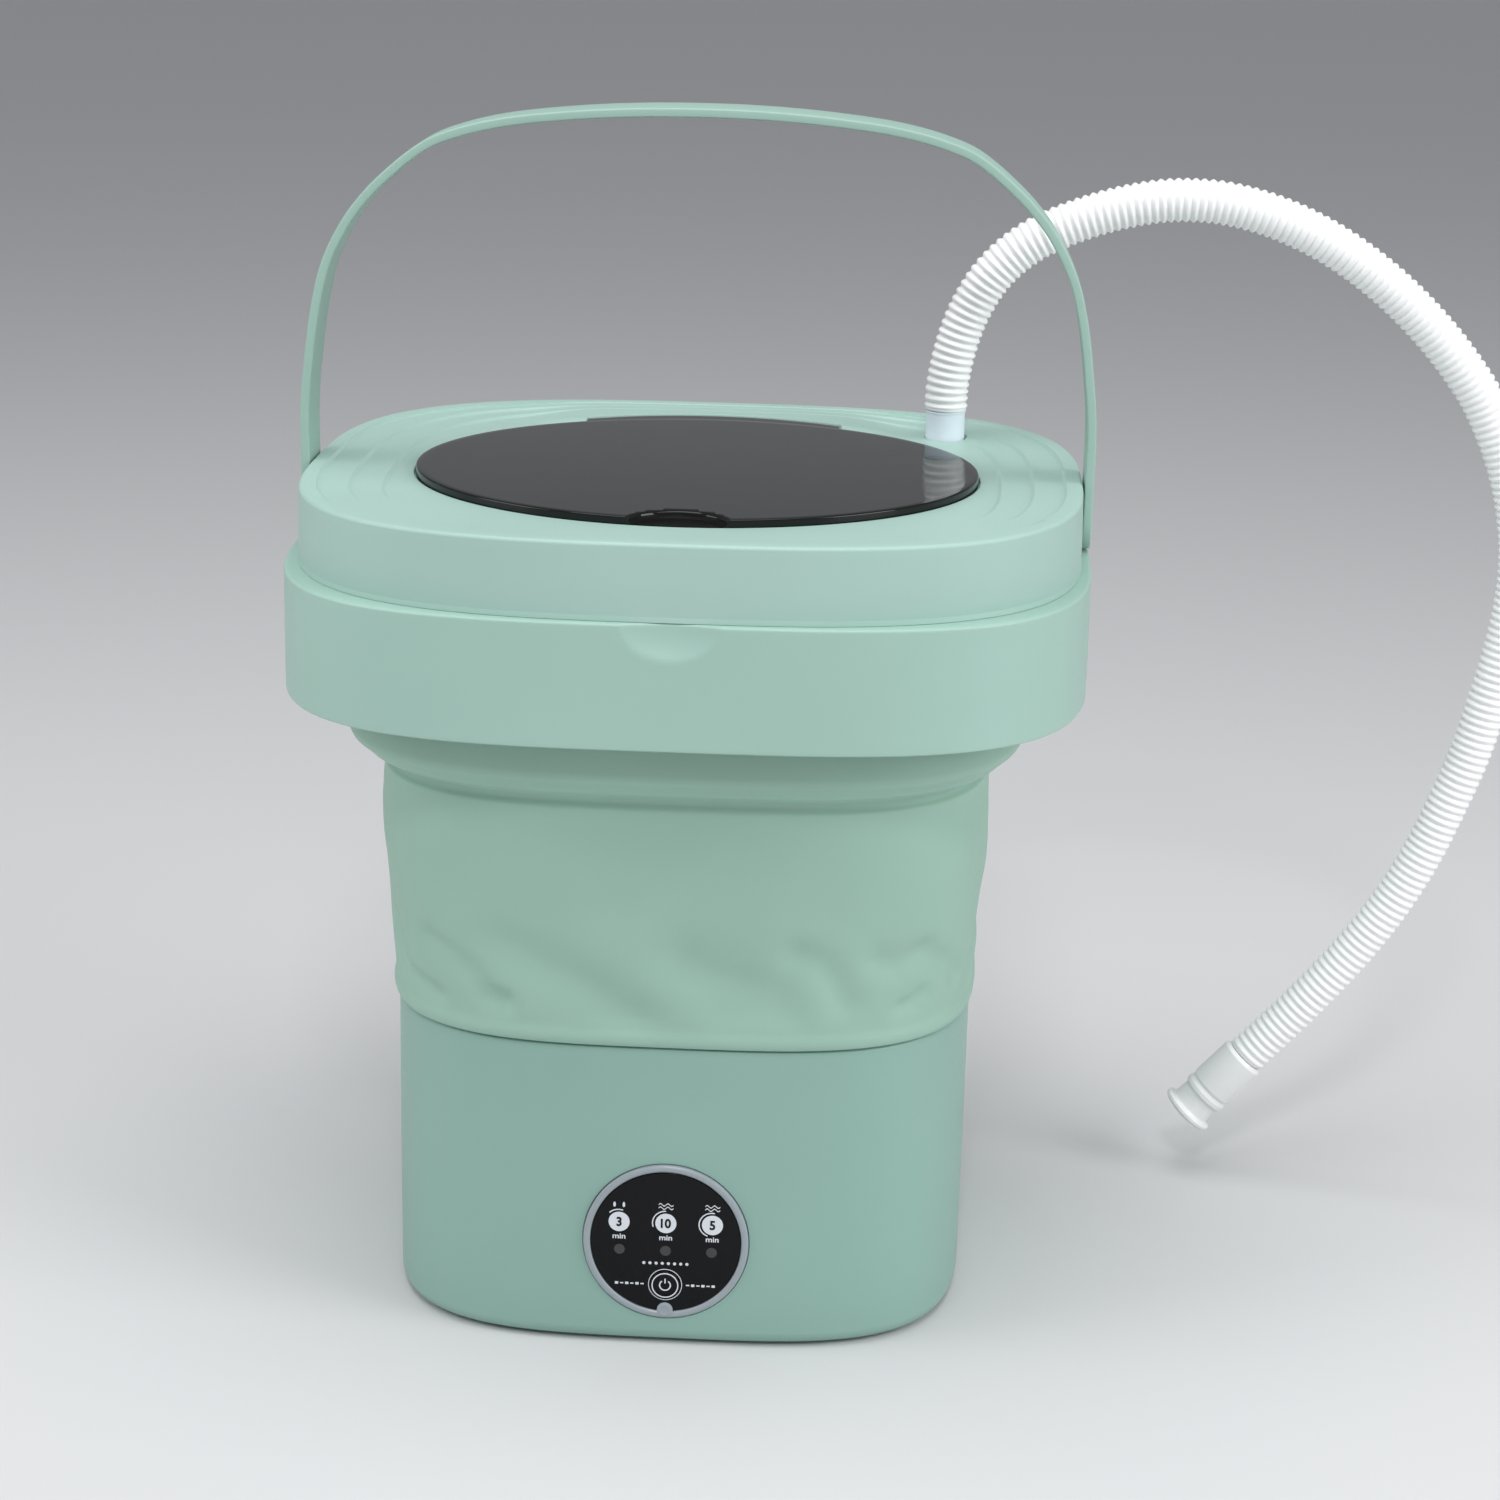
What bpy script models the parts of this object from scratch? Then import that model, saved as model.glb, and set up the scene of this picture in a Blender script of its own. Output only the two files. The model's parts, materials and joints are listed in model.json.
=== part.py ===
"""Portable folding mini washer: base with gearmotor, soft folding tub, collar, lid frame with
flip lid, carrying handle and corrugated drain hose.  Metres, +Z up, front faces -Y, +X to the
right, origin at the centre of the footprint on the standing plane."""
import bpy
import bmesh
import math
from mathutils import Vector, Matrix

for _o in list(bpy.data.objects):
    bpy.data.objects.remove(_o, do_unlink=True)

MM = 0.001
GAP = 0.3 * MM
SEG = 44                      # sides round the large rounded-square shells
DEPTH_RATIO = 0.92            # depth of the plan outline over its width

# heights
Z_FOOT = 1.0 * MM
Z_HOUSING_BOTTOM = 1.0 * MM
Z_JOINT = 124.3 * MM          # line between the soft tub and the base
Z_COLLAR_BOTTOM = 253.3 * MM
Z_LEDGE = 300.3 * MM
Z_LID_SURFACE = 326.5 * MM
Z_LID_RIDGE = 329.0 * MM
Z_HANDLE_TOP = 469.0 * MM

# half widths
W_BASE = 115.3 * MM
W_COLLAR = 155.5 * MM
W_LID = 151.2 * MM

# plan exponents of the rounded squares
N_BASE = 3.3
N_FOOT = 3.6
N_TUB = 3.35
N_COLLAR = 3.47
N_LID = 3.0

# flip lid
FLAP_A, FLAP_B, FLAP_Y = 111.0 * MM, 98.0 * MM, 1.0 * MM
Y_HINGE, Z_HINGE = 96.4 * MM, 324.6 * MM
HINGE_HALF = 53.1 * MM
ARC_Y, ARC_TAB, ARC_NOTCH = 2.7 * MM, 109.4 * MM, 111.3 * MM      # rounded back of the flap and of its notch

# handle
HANDLE_PIVOT_Z = 312.8 * MM
HANDLE_DEPTH = 23.6 * MM
HANDLE_T = 3.5 * MM

# drain hose
HOSE_XY = (97.6 * MM, 84.8 * MM)
HOSE_R = 9.0 * MM
CUFF_R = 8.2 * MM
Z_CUFF_TOP = 338.2 * MM

# control panel
PANEL_Z = 44.3 * MM
BEZEL_R = 32.2 * MM
LENS_R = 29.2 * MM
BUTTON_Z = 26.3 * MM
BUTTON_R = 5.9 * MM


# ---------------------------------------------------------------- collections and materials
washer = bpy.data.collections.new("portable_mini_washer")
cutters = bpy.data.collections.new("cutters")
bpy.context.scene.collection.children.link(washer)
bpy.context.scene.collection.children.link(cutters)

GREEN = (0.37, 0.60, 0.51)
GREEN_BASE = (0.29, 0.50, 0.44)
GREEN_SOFT = (0.33, 0.55, 0.45)
GREEN_LID = (0.42, 0.66, 0.58)


def material(name, colour, rough=0.5, metal=0.0):
    m = bpy.data.materials.new(name)
    m.use_nodes = True
    b = m.node_tree.nodes["Principled BSDF"]
    b.inputs["Base Color"].default_value = (*colour, 1.0)
    b.inputs["Roughness"].default_value = rough
    b.inputs["Metallic"].default_value = metal
    return m


def finish(obj, colour, rough=0.5, metal=0.0, shade=True):
    obj.data.materials.clear()
    obj.data.materials.append(material(obj.name + "_mat", colour, rough, metal))
    for c in list(obj.users_collection):
        c.objects.unlink(obj)
    washer.objects.link(obj)
    return obj


def as_cutter(obj):
    for c in list(obj.users_collection):
        c.objects.unlink(obj)
    cutters.objects.link(obj)
    obj.hide_render = True
    obj.display_type = "WIRE"
    return obj


# ---------------------------------------------------------------- shape helpers
def outline_point(angle, w, d, n):
    """Point of a rounded-square (superellipse) outline seen at that angle from its centre."""
    c, s = math.cos(angle), math.sin(angle)
    r = 1.0 / ((abs(c) / w) ** n + (abs(s) / d) ** n) ** (1.0 / n)
    return r * c, r * s


def ring(z, w, d=None, n=N_TUB, cx=0.0, cy=0.0):
    return (z, w, w * DEPTH_RATIO if d is None else d, n, cx, cy)


def circle_ring(z, r, cx=0.0, cy=0.0):
    return (z, r, r, 2.0, cx, cy)


def loft(name, rings, segments=SEG, closed=False, cap_start=False, cap_end=False):
    """Sweep a loop through the given rings, one extrusion after another."""
    bm = bmesh.new()
    bmesh.ops.create_circle(bm, cap_ends=False, radius=1.0, segments=segments)
    verts = list(bm.verts)
    angles = {v: math.atan2(v.co.y, v.co.x) for v in verts}
    loop = list(bm.edges)

    def place(vs, ring_):
        z, w, d, n, cx, cy = ring_
        for v in vs:
            x, y = outline_point(angles[v], w, d, n)
            v.co = (x + cx, y + cy, z)

    place(verts, rings[0])
    first_loop = loop
    for r in rings[1:]:
        before = {(round(v.co.x, 9), round(v.co.y, 9), round(v.co.z, 9)): angles[v] for v in verts}
        out = bmesh.ops.extrude_edge_only(bm, edges=loop)
        verts = [g for g in out["geom"] if isinstance(g, bmesh.types.BMVert)]
        for v in verts:
            angles[v] = before[(round(v.co.x, 9), round(v.co.y, 9), round(v.co.z, 9))]
        new = set(verts)
        loop = [g for g in out["geom"] if isinstance(g, bmesh.types.BMEdge)
                and g.verts[0] in new and g.verts[1] in new]
        place(verts, r)
    if closed:
        bmesh.ops.bridge_loops(bm, edges=first_loop + loop)
    if cap_start:
        bmesh.ops.contextual_create(bm, geom=first_loop)
    if cap_end:
        bmesh.ops.contextual_create(bm, geom=loop)
    bmesh.ops.recalc_face_normals(bm, faces=list(bm.faces))
    me = bpy.data.meshes.new(name)
    bm.to_mesh(me)
    bm.free()
    ob = bpy.data.objects.new(name, me)
    washer.objects.link(ob)
    return ob


def turned(name, profile, steps=20, centre=(0, 0, 0), rot=(0, 0, 0), closed=True):
    """A turned piece: (radius, height) profile spun once round Z."""
    bm = bmesh.new()
    vs = [bm.verts.new((r, 0.0, z)) for r, z in profile]
    edges = [bm.edges.new((vs[i], vs[i + 1])) for i in range(len(vs) - 1)]
    if closed:
        edges.append(bm.edges.new((vs[-1], vs[0])))
    bmesh.ops.spin(bm, geom=vs + edges, cent=(0, 0, 0), axis=(0, 0, 1), angle=2 * math.pi,
                   steps=steps, use_merge=True)
    bmesh.ops.remove_doubles(bm, verts=list(bm.verts), dist=1e-6)
    bmesh.ops.recalc_face_normals(bm, faces=list(bm.faces))
    me = bpy.data.meshes.new(name)
    bm.to_mesh(me)
    bm.free()
    ob = bpy.data.objects.new(name, me)
    washer.objects.link(ob)
    ob.location = centre
    ob.rotation_euler = rot
    return ob


def cylinder(name, r, depth, centre, rot=(0, 0, 0), verts=32):
    bpy.ops.mesh.primitive_cylinder_add(vertices=verts, radius=r, depth=depth,
                                        location=centre, rotation=rot)
    ob = bpy.context.active_object
    ob.name = name
    ob.data.name = name
    return ob


def box(name, lo, hi):
    bpy.ops.mesh.primitive_cube_add(size=1.0, location=[(a + b) / 2 for a, b in zip(lo, hi)])
    ob = bpy.context.active_object
    ob.name = name
    ob.data.name = name
    ob.scale = [b - a for a, b in zip(lo, hi)]
    bpy.ops.object.transform_apply(location=False, rotation=False, scale=True)
    return ob


def boolean(obj, other, op="DIFFERENCE"):
    m = obj.modifiers.new(op.lower() + "_" + other.name, "BOOLEAN")
    m.operation = op
    m.solver = "EXACT"
    m.object = other
    return m


def bevel(obj, width, segments=2, angle=40):
    m = obj.modifiers.new("bevel", "BEVEL")
    m.width = width
    m.segments = segments
    m.limit_method = "ANGLE"
    m.angle_limit = math.radians(angle)
    return m


def join_meshes(name, objects):
    """Several separate cutter bodies held in one mesh."""
    bm = bmesh.new()
    for o in objects:
        bpy.context.view_layer.update()
        part = o.data.copy()
        part.transform(o.matrix_world)
        bm.from_mesh(part)
        bpy.data.meshes.remove(part)
    me = bpy.data.meshes.new(name)
    bm.to_mesh(me)
    bm.free()
    for o in objects:
        bpy.data.objects.remove(o, do_unlink=True)
    ob = bpy.data.objects.new(name, me)
    bpy.context.scene.collection.objects.link(ob)
    return ob


def smooth_route(points, count):
    """Catmull-Rom curve through the points, read off at count points of equal spacing."""
    P = [Vector(p) for p in points]
    P = [P[0] * 2 - P[1]] + P + [P[-1] * 2 - P[-2]]
    dense = []
    for i in range(1, len(P) - 2):
        a, b, c, d = P[i - 1], P[i], P[i + 1], P[i + 2]
        for k in range(40):
            t = k / 40
            dense.append(0.5 * ((2 * b) + (c - a) * t + (2 * a - 5 * b + 4 * c - d) * t * t
                                + (3 * b - a - 3 * c + d) * t ** 3))
    dense.append(P[-2])
    s = [0.0]
    for i in range(1, len(dense)):
        s.append(s[-1] + (dense[i] - dense[i - 1]).length)
    out = []
    j = 0
    for k in range(count):
        want = s[-1] * k / (count - 1)
        while j < len(s) - 2 and s[j + 1] < want:
            j += 1
        f = 0.0 if s[j + 1] == s[j] else (want - s[j]) / (s[j + 1] - s[j])
        out.append(dense[j].lerp(dense[j + 1], min(max(f, 0.0), 1.0)))
    return out


def tube(name, points, radius, resolution=2):
    """A plain tube: POLY spline with a bevel and filled caps."""
    cu = bpy.data.curves.new(name, "CURVE")
    cu.dimensions = "3D"
    cu.bevel_depth = radius
    cu.bevel_resolution = resolution
    cu.use_fill_caps = True
    sp = cu.splines.new("POLY")
    sp.points.add(len(points) - 1)
    for q, p in zip(sp.points, points):
        q.co = (p[0], p[1], p[2], 1.0)
    ob = bpy.data.objects.new(name, cu)
    washer.objects.link(ob)
    return ob


# ---------------------------------------------------------------- base
base_housing = loft("base_housing", [
    ring(Z_HOUSING_BOTTOM, 108.8 * MM, 101.6 * MM, N_FOOT), ring(1.5 * MM, 110.9 * MM, 103.7 * MM, N_FOOT),
    ring(2.8 * MM, 112.8 * MM, 105.6 * MM, N_FOOT), ring(4.7 * MM, 114.1 * MM, 106.9 * MM, N_FOOT),
    ring(7.5 * MM, 114.6 * MM, 107.4 * MM, N_FOOT), ring(60.0 * MM, 115.1 * MM, 106.5 * MM, 3.45),
    ring(118.0 * MM, W_BASE, n=N_BASE), ring(122.8 * MM, W_BASE, n=N_BASE),
    ring(124.0 * MM, 114.2 * MM, n=N_BASE),
    ring(124.0 * MM, 103.5 * MM, n=N_BASE), ring(121.5 * MM, 103.5 * MM, n=N_BASE),
    ring(121.5 * MM, 112.3 * MM, n=N_BASE), ring(60.0 * MM, 112.1 * MM, 103.5 * MM, 3.45),
    ring(9.0 * MM, 111.6 * MM, 104.4 * MM, N_FOOT), ring(5.8 * MM, 110.4 * MM, 103.2 * MM, N_FOOT),
    ring(4.0 * MM, 107.6 * MM, 100.4 * MM, N_FOOT),
    ring(4.0 * MM, 103.0 * MM, n=N_FOOT), ring(Z_HOUSING_BOTTOM, 103.0 * MM, n=N_FOOT),
], closed=True)
POSTS = [(sx * 76.0 * MM, sy * 69.0 * MM) for sx in (-1, 1) for sy in (-1, 1)]


def post_rib(x, y):
    """Rib running from a screw post out into the corner of the wall."""
    rib = box("r", (-1.0 * MM, -2.0 * MM, 12.0 * MM), (24.4 * MM, 2.0 * MM, 26.0 * MM))
    rib.data.transform(Matrix.Translation(rib.location))
    rib.location = (0, 0, 0)
    rib.data.transform(Matrix.Translation((x, y, 0)) @ Matrix.Rotation(math.atan2(y, x), 4, "Z"))
    return rib


posts = as_cutter(join_meshes("housing_posts", [
    cylinder("p", 7.0 * MM, 22.8 * MM, (x, y, 16.6 * MM), verts=16) for x, y in POSTS]))
post_ribs = as_cutter(join_meshes("housing_post_ribs", [post_rib(x, y) for x, y in POSTS]))
boolean(posts, post_ribs, "UNION")
boolean(base_housing, posts, "UNION")
post_holes = as_cutter(join_meshes("housing_post_holes", [
    cylinder("p", 1.9 * MM, 16.0 * MM, (x, y, 12.0 * MM), verts=16) for x, y in POSTS]))
boolean(base_housing, post_holes)
FRONT = (math.pi / 2, 0, 0)
panel_cut = as_cutter(join_meshes("housing_panel_cut", [
    cylinder("a", BEZEL_R + 0.4 * MM, 12.0 * MM, (0, -104.4 * MM - 6.0 * MM, PANEL_Z), FRONT, 48),
]))
boolean(base_housing, panel_cut)
panel_hole = as_cutter(cylinder("housing_panel_hole", 26.5 * MM, 20.0 * MM,
                                (0, -104.0 * MM, PANEL_Z), FRONT, 48))
boolean(base_housing, panel_hole)
JACK_X, JACK_Z = 48.0 * MM, 30.0 * MM
jack_hole = as_cutter(cylinder("housing_jack_hole", 6.4 * MM, 20.0 * MM,
                               (JACK_X, 103.0 * MM, JACK_Z), FRONT, 24))
boolean(base_housing, jack_hole)
jack_seat = as_cutter(cylinder("housing_jack_seat", 8.8 * MM, 10.0 * MM,
                               (JACK_X, 104.8 * MM + 5.0 * MM, JACK_Z), FRONT, 24))
boolean(base_housing, jack_seat)
finish(base_housing, GREEN_BASE, 0.45)

base_cover = loft("base_cover", [
    ring(1.3 * MM, 102.2 * MM, n=N_FOOT), ring(1.7 * MM, 102.6 * MM, n=N_FOOT),
    ring(3.7 * MM, 102.6 * MM, n=N_FOOT)], cap_start=True, cap_end=True)
cover_holes = as_cutter(join_meshes("cover_holes", [
    cylinder("p", 2.1 * MM, 8.0 * MM, (x, y, 3.5 * MM), verts=16) for x, y in POSTS]))
boolean(base_cover, cover_holes)
finish(base_cover, GREEN_BASE, 0.6)

FEET = [(sx * 66.0 * MM, sy * 60.0 * MM) for sx in (-1, 1) for sy in (-1, 1)]
for i, (x, y) in enumerate(FEET):
    f = turned("rubber_foot_%d" % (i + 1), [
        (0.0, 0.0), (8.4 * MM, 0.0), (9.0 * MM, 0.5 * MM), (9.0 * MM, Z_FOOT), (0.0, Z_FOOT)],
        steps=16, centre=(x, y, 0.0), closed=False)
    finish(f, (0.05, 0.05, 0.05), 0.9)
for i, (x, y) in enumerate(POSTS):
    s = turned("cover_screw_%d" % (i + 1), [
        (0.0, 0.2 * MM), (2.8 * MM, 0.2 * MM), (3.3 * MM, 0.5 * MM), (3.3 * MM, 1.0 * MM),
        (1.6 * MM, 1.0 * MM), (1.6 * MM, 12.0 * MM), (0.8 * MM, 13.0 * MM), (0.0, 13.0 * MM)],
        steps=12, centre=(x, y, 0.0), closed=False)
    finish(s, (0.55, 0.55, 0.56), 0.35, 1.0)

# wash tub floor: dished, with a well for the pulsator and a boss round the shaft
tub_floor = loft("tub_floor", [
    ring(137.5 * MM, 112.6 * MM, n=N_BASE), ring(137.5 * MM, 110.9 * MM, n=N_BASE),
    ring(130.5 * MM, 110.5 * MM, n=N_BASE), ring(127.6 * MM, 107.5 * MM, n=3.0),
    circle_ring(126.8 * MM, 67.0 * MM), circle_ring(125.5 * MM, 65.2 * MM),
    circle_ring(117.0 * MM, 62.5 * MM), circle_ring(115.0 * MM, 60.0 * MM),
    circle_ring(115.0 * MM, 14.0 * MM), circle_ring(119.0 * MM, 12.5 * MM),
    circle_ring(119.0 * MM, 8.5 * MM), circle_ring(106.0 * MM, 8.5 * MM),
    circle_ring(106.0 * MM, 14.5 * MM), circle_ring(112.5 * MM, 15.5 * MM),
    circle_ring(112.5 * MM, 61.0 * MM), circle_ring(115.5 * MM, 64.5 * MM),
    circle_ring(124.3 * MM, 67.2 * MM), ring(124.3 * MM, 102.0 * MM, n=N_BASE),
    ring(124.3 * MM, 112.6 * MM, n=N_BASE),
], closed=True)
PORT = (77.0 * MM, 66.0 * MM)
STRAINER = (40.0 * MM, 80.0 * MM)
floor_holes = as_cutter(join_meshes("tub_floor_holes", [
    cylinder("a", 7.2 * MM, 20.0 * MM, (PORT[0], PORT[1], 126.0 * MM), verts=24),
    cylinder("b", 8.4 * MM, 20.0 * MM, (STRAINER[0], STRAINER[1], 126.0 * MM), verts=24)]))
boolean(tub_floor, floor_holes)
finish(tub_floor, GREEN_BASE, 0.4)

shaft_bush = turned("shaft_bush", [(4.3 * MM, 0), (8.2 * MM, 0), (8.2 * MM, 5.5 * MM), (4.3 * MM, 5.5 * MM)],
                    steps=20, centre=(0, 0, 106.5 * MM))
finish(shaft_bush, (0.62, 0.47, 0.25), 0.35, 1.0)
shaft_seal = turned("shaft_seal", [
    (4.4 * MM, 1.0 * MM), (8.2 * MM, 0), (8.2 * MM, 6.0 * MM), (6.6 * MM, 6.0 * MM),
    (5.4 * MM, 3.4 * MM), (4.4 * MM, 3.0 * MM)], steps=20, centre=(0, 0, 112.4 * MM))
finish(shaft_seal, (0.06, 0.06, 0.06), 0.8)

drive_shaft = turned("drive_shaft", [
    (0, 0), (3.6 * MM, 0), (4.0 * MM, 0.5 * MM), (4.0 * MM, 19.0 * MM), (3.5 * MM, 19.6 * MM), (0, 19.6 * MM)],
    steps=16, centre=(0, 0, 105.4 * MM), closed=False)
finish(drive_shaft, (0.6, 0.6, 0.62), 0.25, 1.0)

gearbox = turned("gearbox", [
    (0, 0), (25.5 * MM, 0), (26.0 * MM, 0.5 * MM), (26.0 * MM, 20.0 * MM), (24.5 * MM, 21.5 * MM),
    (9.0 * MM, 21.5 * MM), (9.0 * MM, 24.3 * MM), (0, 24.3 * MM)],
    steps=24, centre=(0, 0, 80.8 * MM), closed=False)
finish(gearbox, (0.35, 0.35, 0.37), 0.4, 1.0)
motor_can = turned("motor_can", [
    (0, 0), (27.0 * MM, 0), (28.5 * MM, 1.5 * MM), (28.5 * MM, 43.0 * MM), (27.5 * MM, 44.0 * MM), (0, 44.0 * MM)],
    steps=24, centre=(0, 0, 36.5 * MM), closed=False)
finish(motor_can, (0.5, 0.5, 0.52), 0.35, 1.0)
motor_end_cap = turned("motor_end_cap", [
    (0, 0), (6.0 * MM, 0), (6.0 * MM, 3.0 * MM), (24.0 * MM, 3.0 * MM), (25.5 * MM, 4.0 * MM),
    (25.5 * MM, 9.2 * MM), (0, 9.2 * MM)], steps=24, centre=(0, 0, 27.0 * MM), closed=False)
finish(motor_end_cap, (0.03, 0.03, 0.03), 0.5)

motor_plate = turned("motor_plate", [
    (12.0 * MM, 0), (57.0 * MM, 0), (58.0 * MM, 0.6 * MM), (58.0 * MM, 2.2 * MM), (12.0 * MM, 2.2 * MM)],
    steps=32, centre=(0, 0, 103.0 * MM))
STAND = [(47.0 * MM * math.cos(a), 47.0 * MM * math.sin(a)) for a in
         [math.radians(45 + 90 * k) for k in range(4)]]
standoffs = as_cutter(join_meshes("motor_plate_standoffs", [
    cylinder("p", 4.5 * MM, 8.0 * MM, (x, y, 108.2 * MM), verts=20) for x, y in STAND]))
boolean(motor_plate, standoffs, "UNION")
plate_holes = as_cutter(join_meshes("motor_plate_holes", [
    cylinder("p", 1.9 * MM, 14.0 * MM, (x, y, 103.6 * MM), verts=16) for x, y in STAND]))
boolean(motor_plate, plate_holes)
finish(motor_plate, (0.45, 0.46, 0.47), 0.4, 1.0)
for i, (x, y) in enumerate(STAND):
    s = turned("motor_screw_%d" % (i + 1), [
        (0.0, 0.0), (2.4 * MM, 0.0), (3.2 * MM, 0.8 * MM), (3.2 * MM, 2.4 * MM),
        (1.6 * MM, 2.4 * MM), (1.6 * MM, 10.2 * MM), (0.0, 10.2 * MM)],
        steps=12, centre=(x, y, 100.3 * MM), closed=False)
    finish(s, (0.55, 0.55, 0.56), 0.35, 1.0)

# pulsator with six raised blades
pulsator = turned("pulsator", [
    (4.3 * MM, 0.0), (9.5 * MM, 0.0), (12.0 * MM, 0.6 * MM), (54.0 * MM, 0.6 * MM), (57.5 * MM, 1.6 * MM),
    (57.5 * MM, 3.2 * MM), (54.0 * MM, 4.4 * MM), (36.0 * MM, 5.2 * MM), (22.0 * MM, 8.4 * MM),
    (12.0 * MM, 11.8 * MM), (6.5 * MM, 12.4 * MM), (2.4 * MM, 12.4 * MM), (2.4 * MM, 7.6 * MM),
    (4.3 * MM, 7.6 * MM)], steps=32, centre=(0, 0, 119.4 * MM))
blade_list = []
for k in range(6):
    a = math.radians(60 * k)
    bpy.ops.mesh.primitive_uv_sphere_add(segments=12, ring_count=6, radius=1.0,
                                         location=(31.0 * MM * math.cos(a), 31.0 * MM * math.sin(a), 123.0 * MM),
                                         rotation=(0, 0, a))
    b = bpy.context.active_object
    b.scale = (22.5 * MM, 5.2 * MM, 8.0 * MM)
    blade_list.append(b)
for b in blade_list:
    bpy.context.view_layer.update()
blades = as_cutter(join_meshes("pulsator_blades", blade_list))
clip = as_cutter(cylinder("pulsator_blade_clip", 56.0 * MM, 20.0 * MM, (0, 0, 121.4 * MM + 10.0 * MM), verts=48))
boolean(blades, clip, "INTERSECT")
boolean(pulsator, blades, "UNION")
finish(pulsator, (0.78, 0.82, 0.80), 0.35)
pulsator_cap = turned("pulsator_cap", [
    (0, 0), (2.0 * MM, 0), (2.0 * MM, 3.3 * MM), (6.6 * MM, 3.3 * MM), (6.6 * MM, 4.4 * MM),
    (4.6 * MM, 5.6 * MM), (0, 6.0 * MM)], steps=20, centre=(0, 0, 128.8 * MM), closed=False)
finish(pulsator_cap, (0.78, 0.82, 0.80), 0.35)

# water side under the floor
drain_strainer = turned("drain_strainer", [
    (0, 4.6 * MM), (6.6 * MM, 4.6 * MM), (6.6 * MM, 0), (8.0 * MM, 0), (8.0 * MM, 5.6 * MM), (10.5 * MM, 5.6 * MM),
    (10.5 * MM, 6.6 * MM), (8.5 * MM, 7.2 * MM), (0, 7.2 * MM)], steps=20,
    centre=(STRAINER[0], STRAINER[1], 122.0 * MM), closed=False)
strainer_slots = as_cutter(join_meshes("strainer_slots", [
    box("s", (STRAINER[0] + dx - 0.7 * MM, STRAINER[1] - h, 125.0 * MM), (STRAINER[0] + dx + 0.7 * MM, STRAINER[1] + h, 131.0 * MM))
    for dx, h in ((-4.0 * MM, 3.0 * MM), (0.0, 4.6 * MM), (4.0 * MM, 3.0 * MM))]))
boolean(drain_strainer, strainer_slots)
finish(drain_strainer, (0.78, 0.82, 0.80), 0.4)
drain_port = turned("drain_port", [
    (4.6 * MM, 0), (6.8 * MM, 0), (6.8 * MM, 16.6 * MM), (9.5 * MM, 16.6 * MM), (9.5 * MM, 18.2 * MM),
    (6.8 * MM, 18.2 * MM), (6.8 * MM, 22.4 * MM), (4.6 * MM, 22.4 * MM)], steps=16,
    centre=(PORT[0], PORT[1], 111.0 * MM))
finish(drain_port, (0.85, 0.86, 0.86), 0.4)
drain_pump = turned("drain_pump", [
    (0, 0), (14.0 * MM, 0), (15.0 * MM, 1.0 * MM), (15.0 * MM, 30.0 * MM), (17.5 * MM, 31.0 * MM),
    (17.5 * MM, 41.0 * MM), (15.5 * MM, 43.0 * MM), (6.8 * MM, 43.0 * MM), (6.8 * MM, 47.5 * MM), (0, 47.5 * MM)],
    steps=20, centre=(PORT[0] - 4.0 * MM, PORT[1] - 3.0 * MM, 62.8 * MM), closed=False)
finish(drain_pump, (0.06, 0.06, 0.07), 0.5)

# ---------------------------------------------------------------- control panel
panel_bezel = turned("panel_bezel", [
    (LENS_R + GAP, -2.5 * MM), (BEZEL_R, -2.5 * MM), (BEZEL_R, 0.2 * MM), (BEZEL_R - 0.9 * MM, 0.9 * MM),
    (LENS_R + 1.0 * MM, 0.9 * MM), (LENS_R + GAP, 0.4 * MM)], steps=48,
    centre=(0, -107.2 * MM, PANEL_Z), rot=(math.pi / 2, 0, 0))
finish(panel_bezel, (0.62, 0.66, 0.65), 0.3, 1.0)
panel_lens = turned("panel_lens", [
    (0, -2.5 * MM), (LENS_R, -2.5 * MM), (LENS_R, -0.1 * MM), (LENS_R - 0.4 * MM, 0.3 * MM), (0, 0.3 * MM)],
    steps=48, centre=(0, -107.2 * MM, PANEL_Z), rot=(math.pi / 2, 0, 0), closed=False)
lens_hole = as_cutter(cylinder("lens_button_hole", BUTTON_R + GAP, 12.0 * MM,
                               (0, -106.0 * MM, BUTTON_Z), FRONT, 32))
boolean(panel_lens, lens_hole)
finish(panel_lens, (0.012, 0.012, 0.013), 0.12)

start_button = turned("start_button", [
    (0, -4.9 * MM), (1.8 * MM, -4.9 * MM), (1.8 * MM, -3.5 * MM), (7.4 * MM, -3.5 * MM), (7.4 * MM, -2.8 * MM),
    (BUTTON_R, -2.8 * MM), (BUTTON_R, 0.7 * MM), (BUTTON_R - 0.5 * MM, 1.1 * MM), (0, 1.1 * MM)],
    steps=20, centre=(0, -107.2 * MM, BUTTON_Z), rot=(math.pi / 2, 0, 0), closed=False)
finish(start_button, (0.015, 0.015, 0.016), 0.25)

board_carrier = box("board_carrier", (-29.0 * MM, -101.2 * MM, 17.0 * MM), (29.0 * MM, -98.4 * MM, 71.6 * MM))
carrier_cut = as_cutter(box("carrier_cut", (-25.0 * MM, -106.0 * MM, 19.6 * MM), (25.0 * MM, -94.0 * MM, 67.6 * MM)))
boolean(board_carrier, carrier_cut)
finish(board_carrier, (0.7, 0.72, 0.72), 0.6)
control_board = box("control_board", (-28.5 * MM, -98.1 * MM, 18.0 * MM), (28.5 * MM, -96.5 * MM, 70.6 * MM))
finish(control_board, (0.02, 0.16, 0.06), 0.5)
tact_switch = box("tact_switch", (-3.0 * MM, -100.8 * MM, BUTTON_Z - 3.0 * MM), (3.0 * MM, -98.4 * MM, BUTTON_Z + 3.0 * MM))
bevel(tact_switch, 0.4 * MM, 1)
finish(tact_switch, (0.05, 0.05, 0.05), 0.5)
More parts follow.
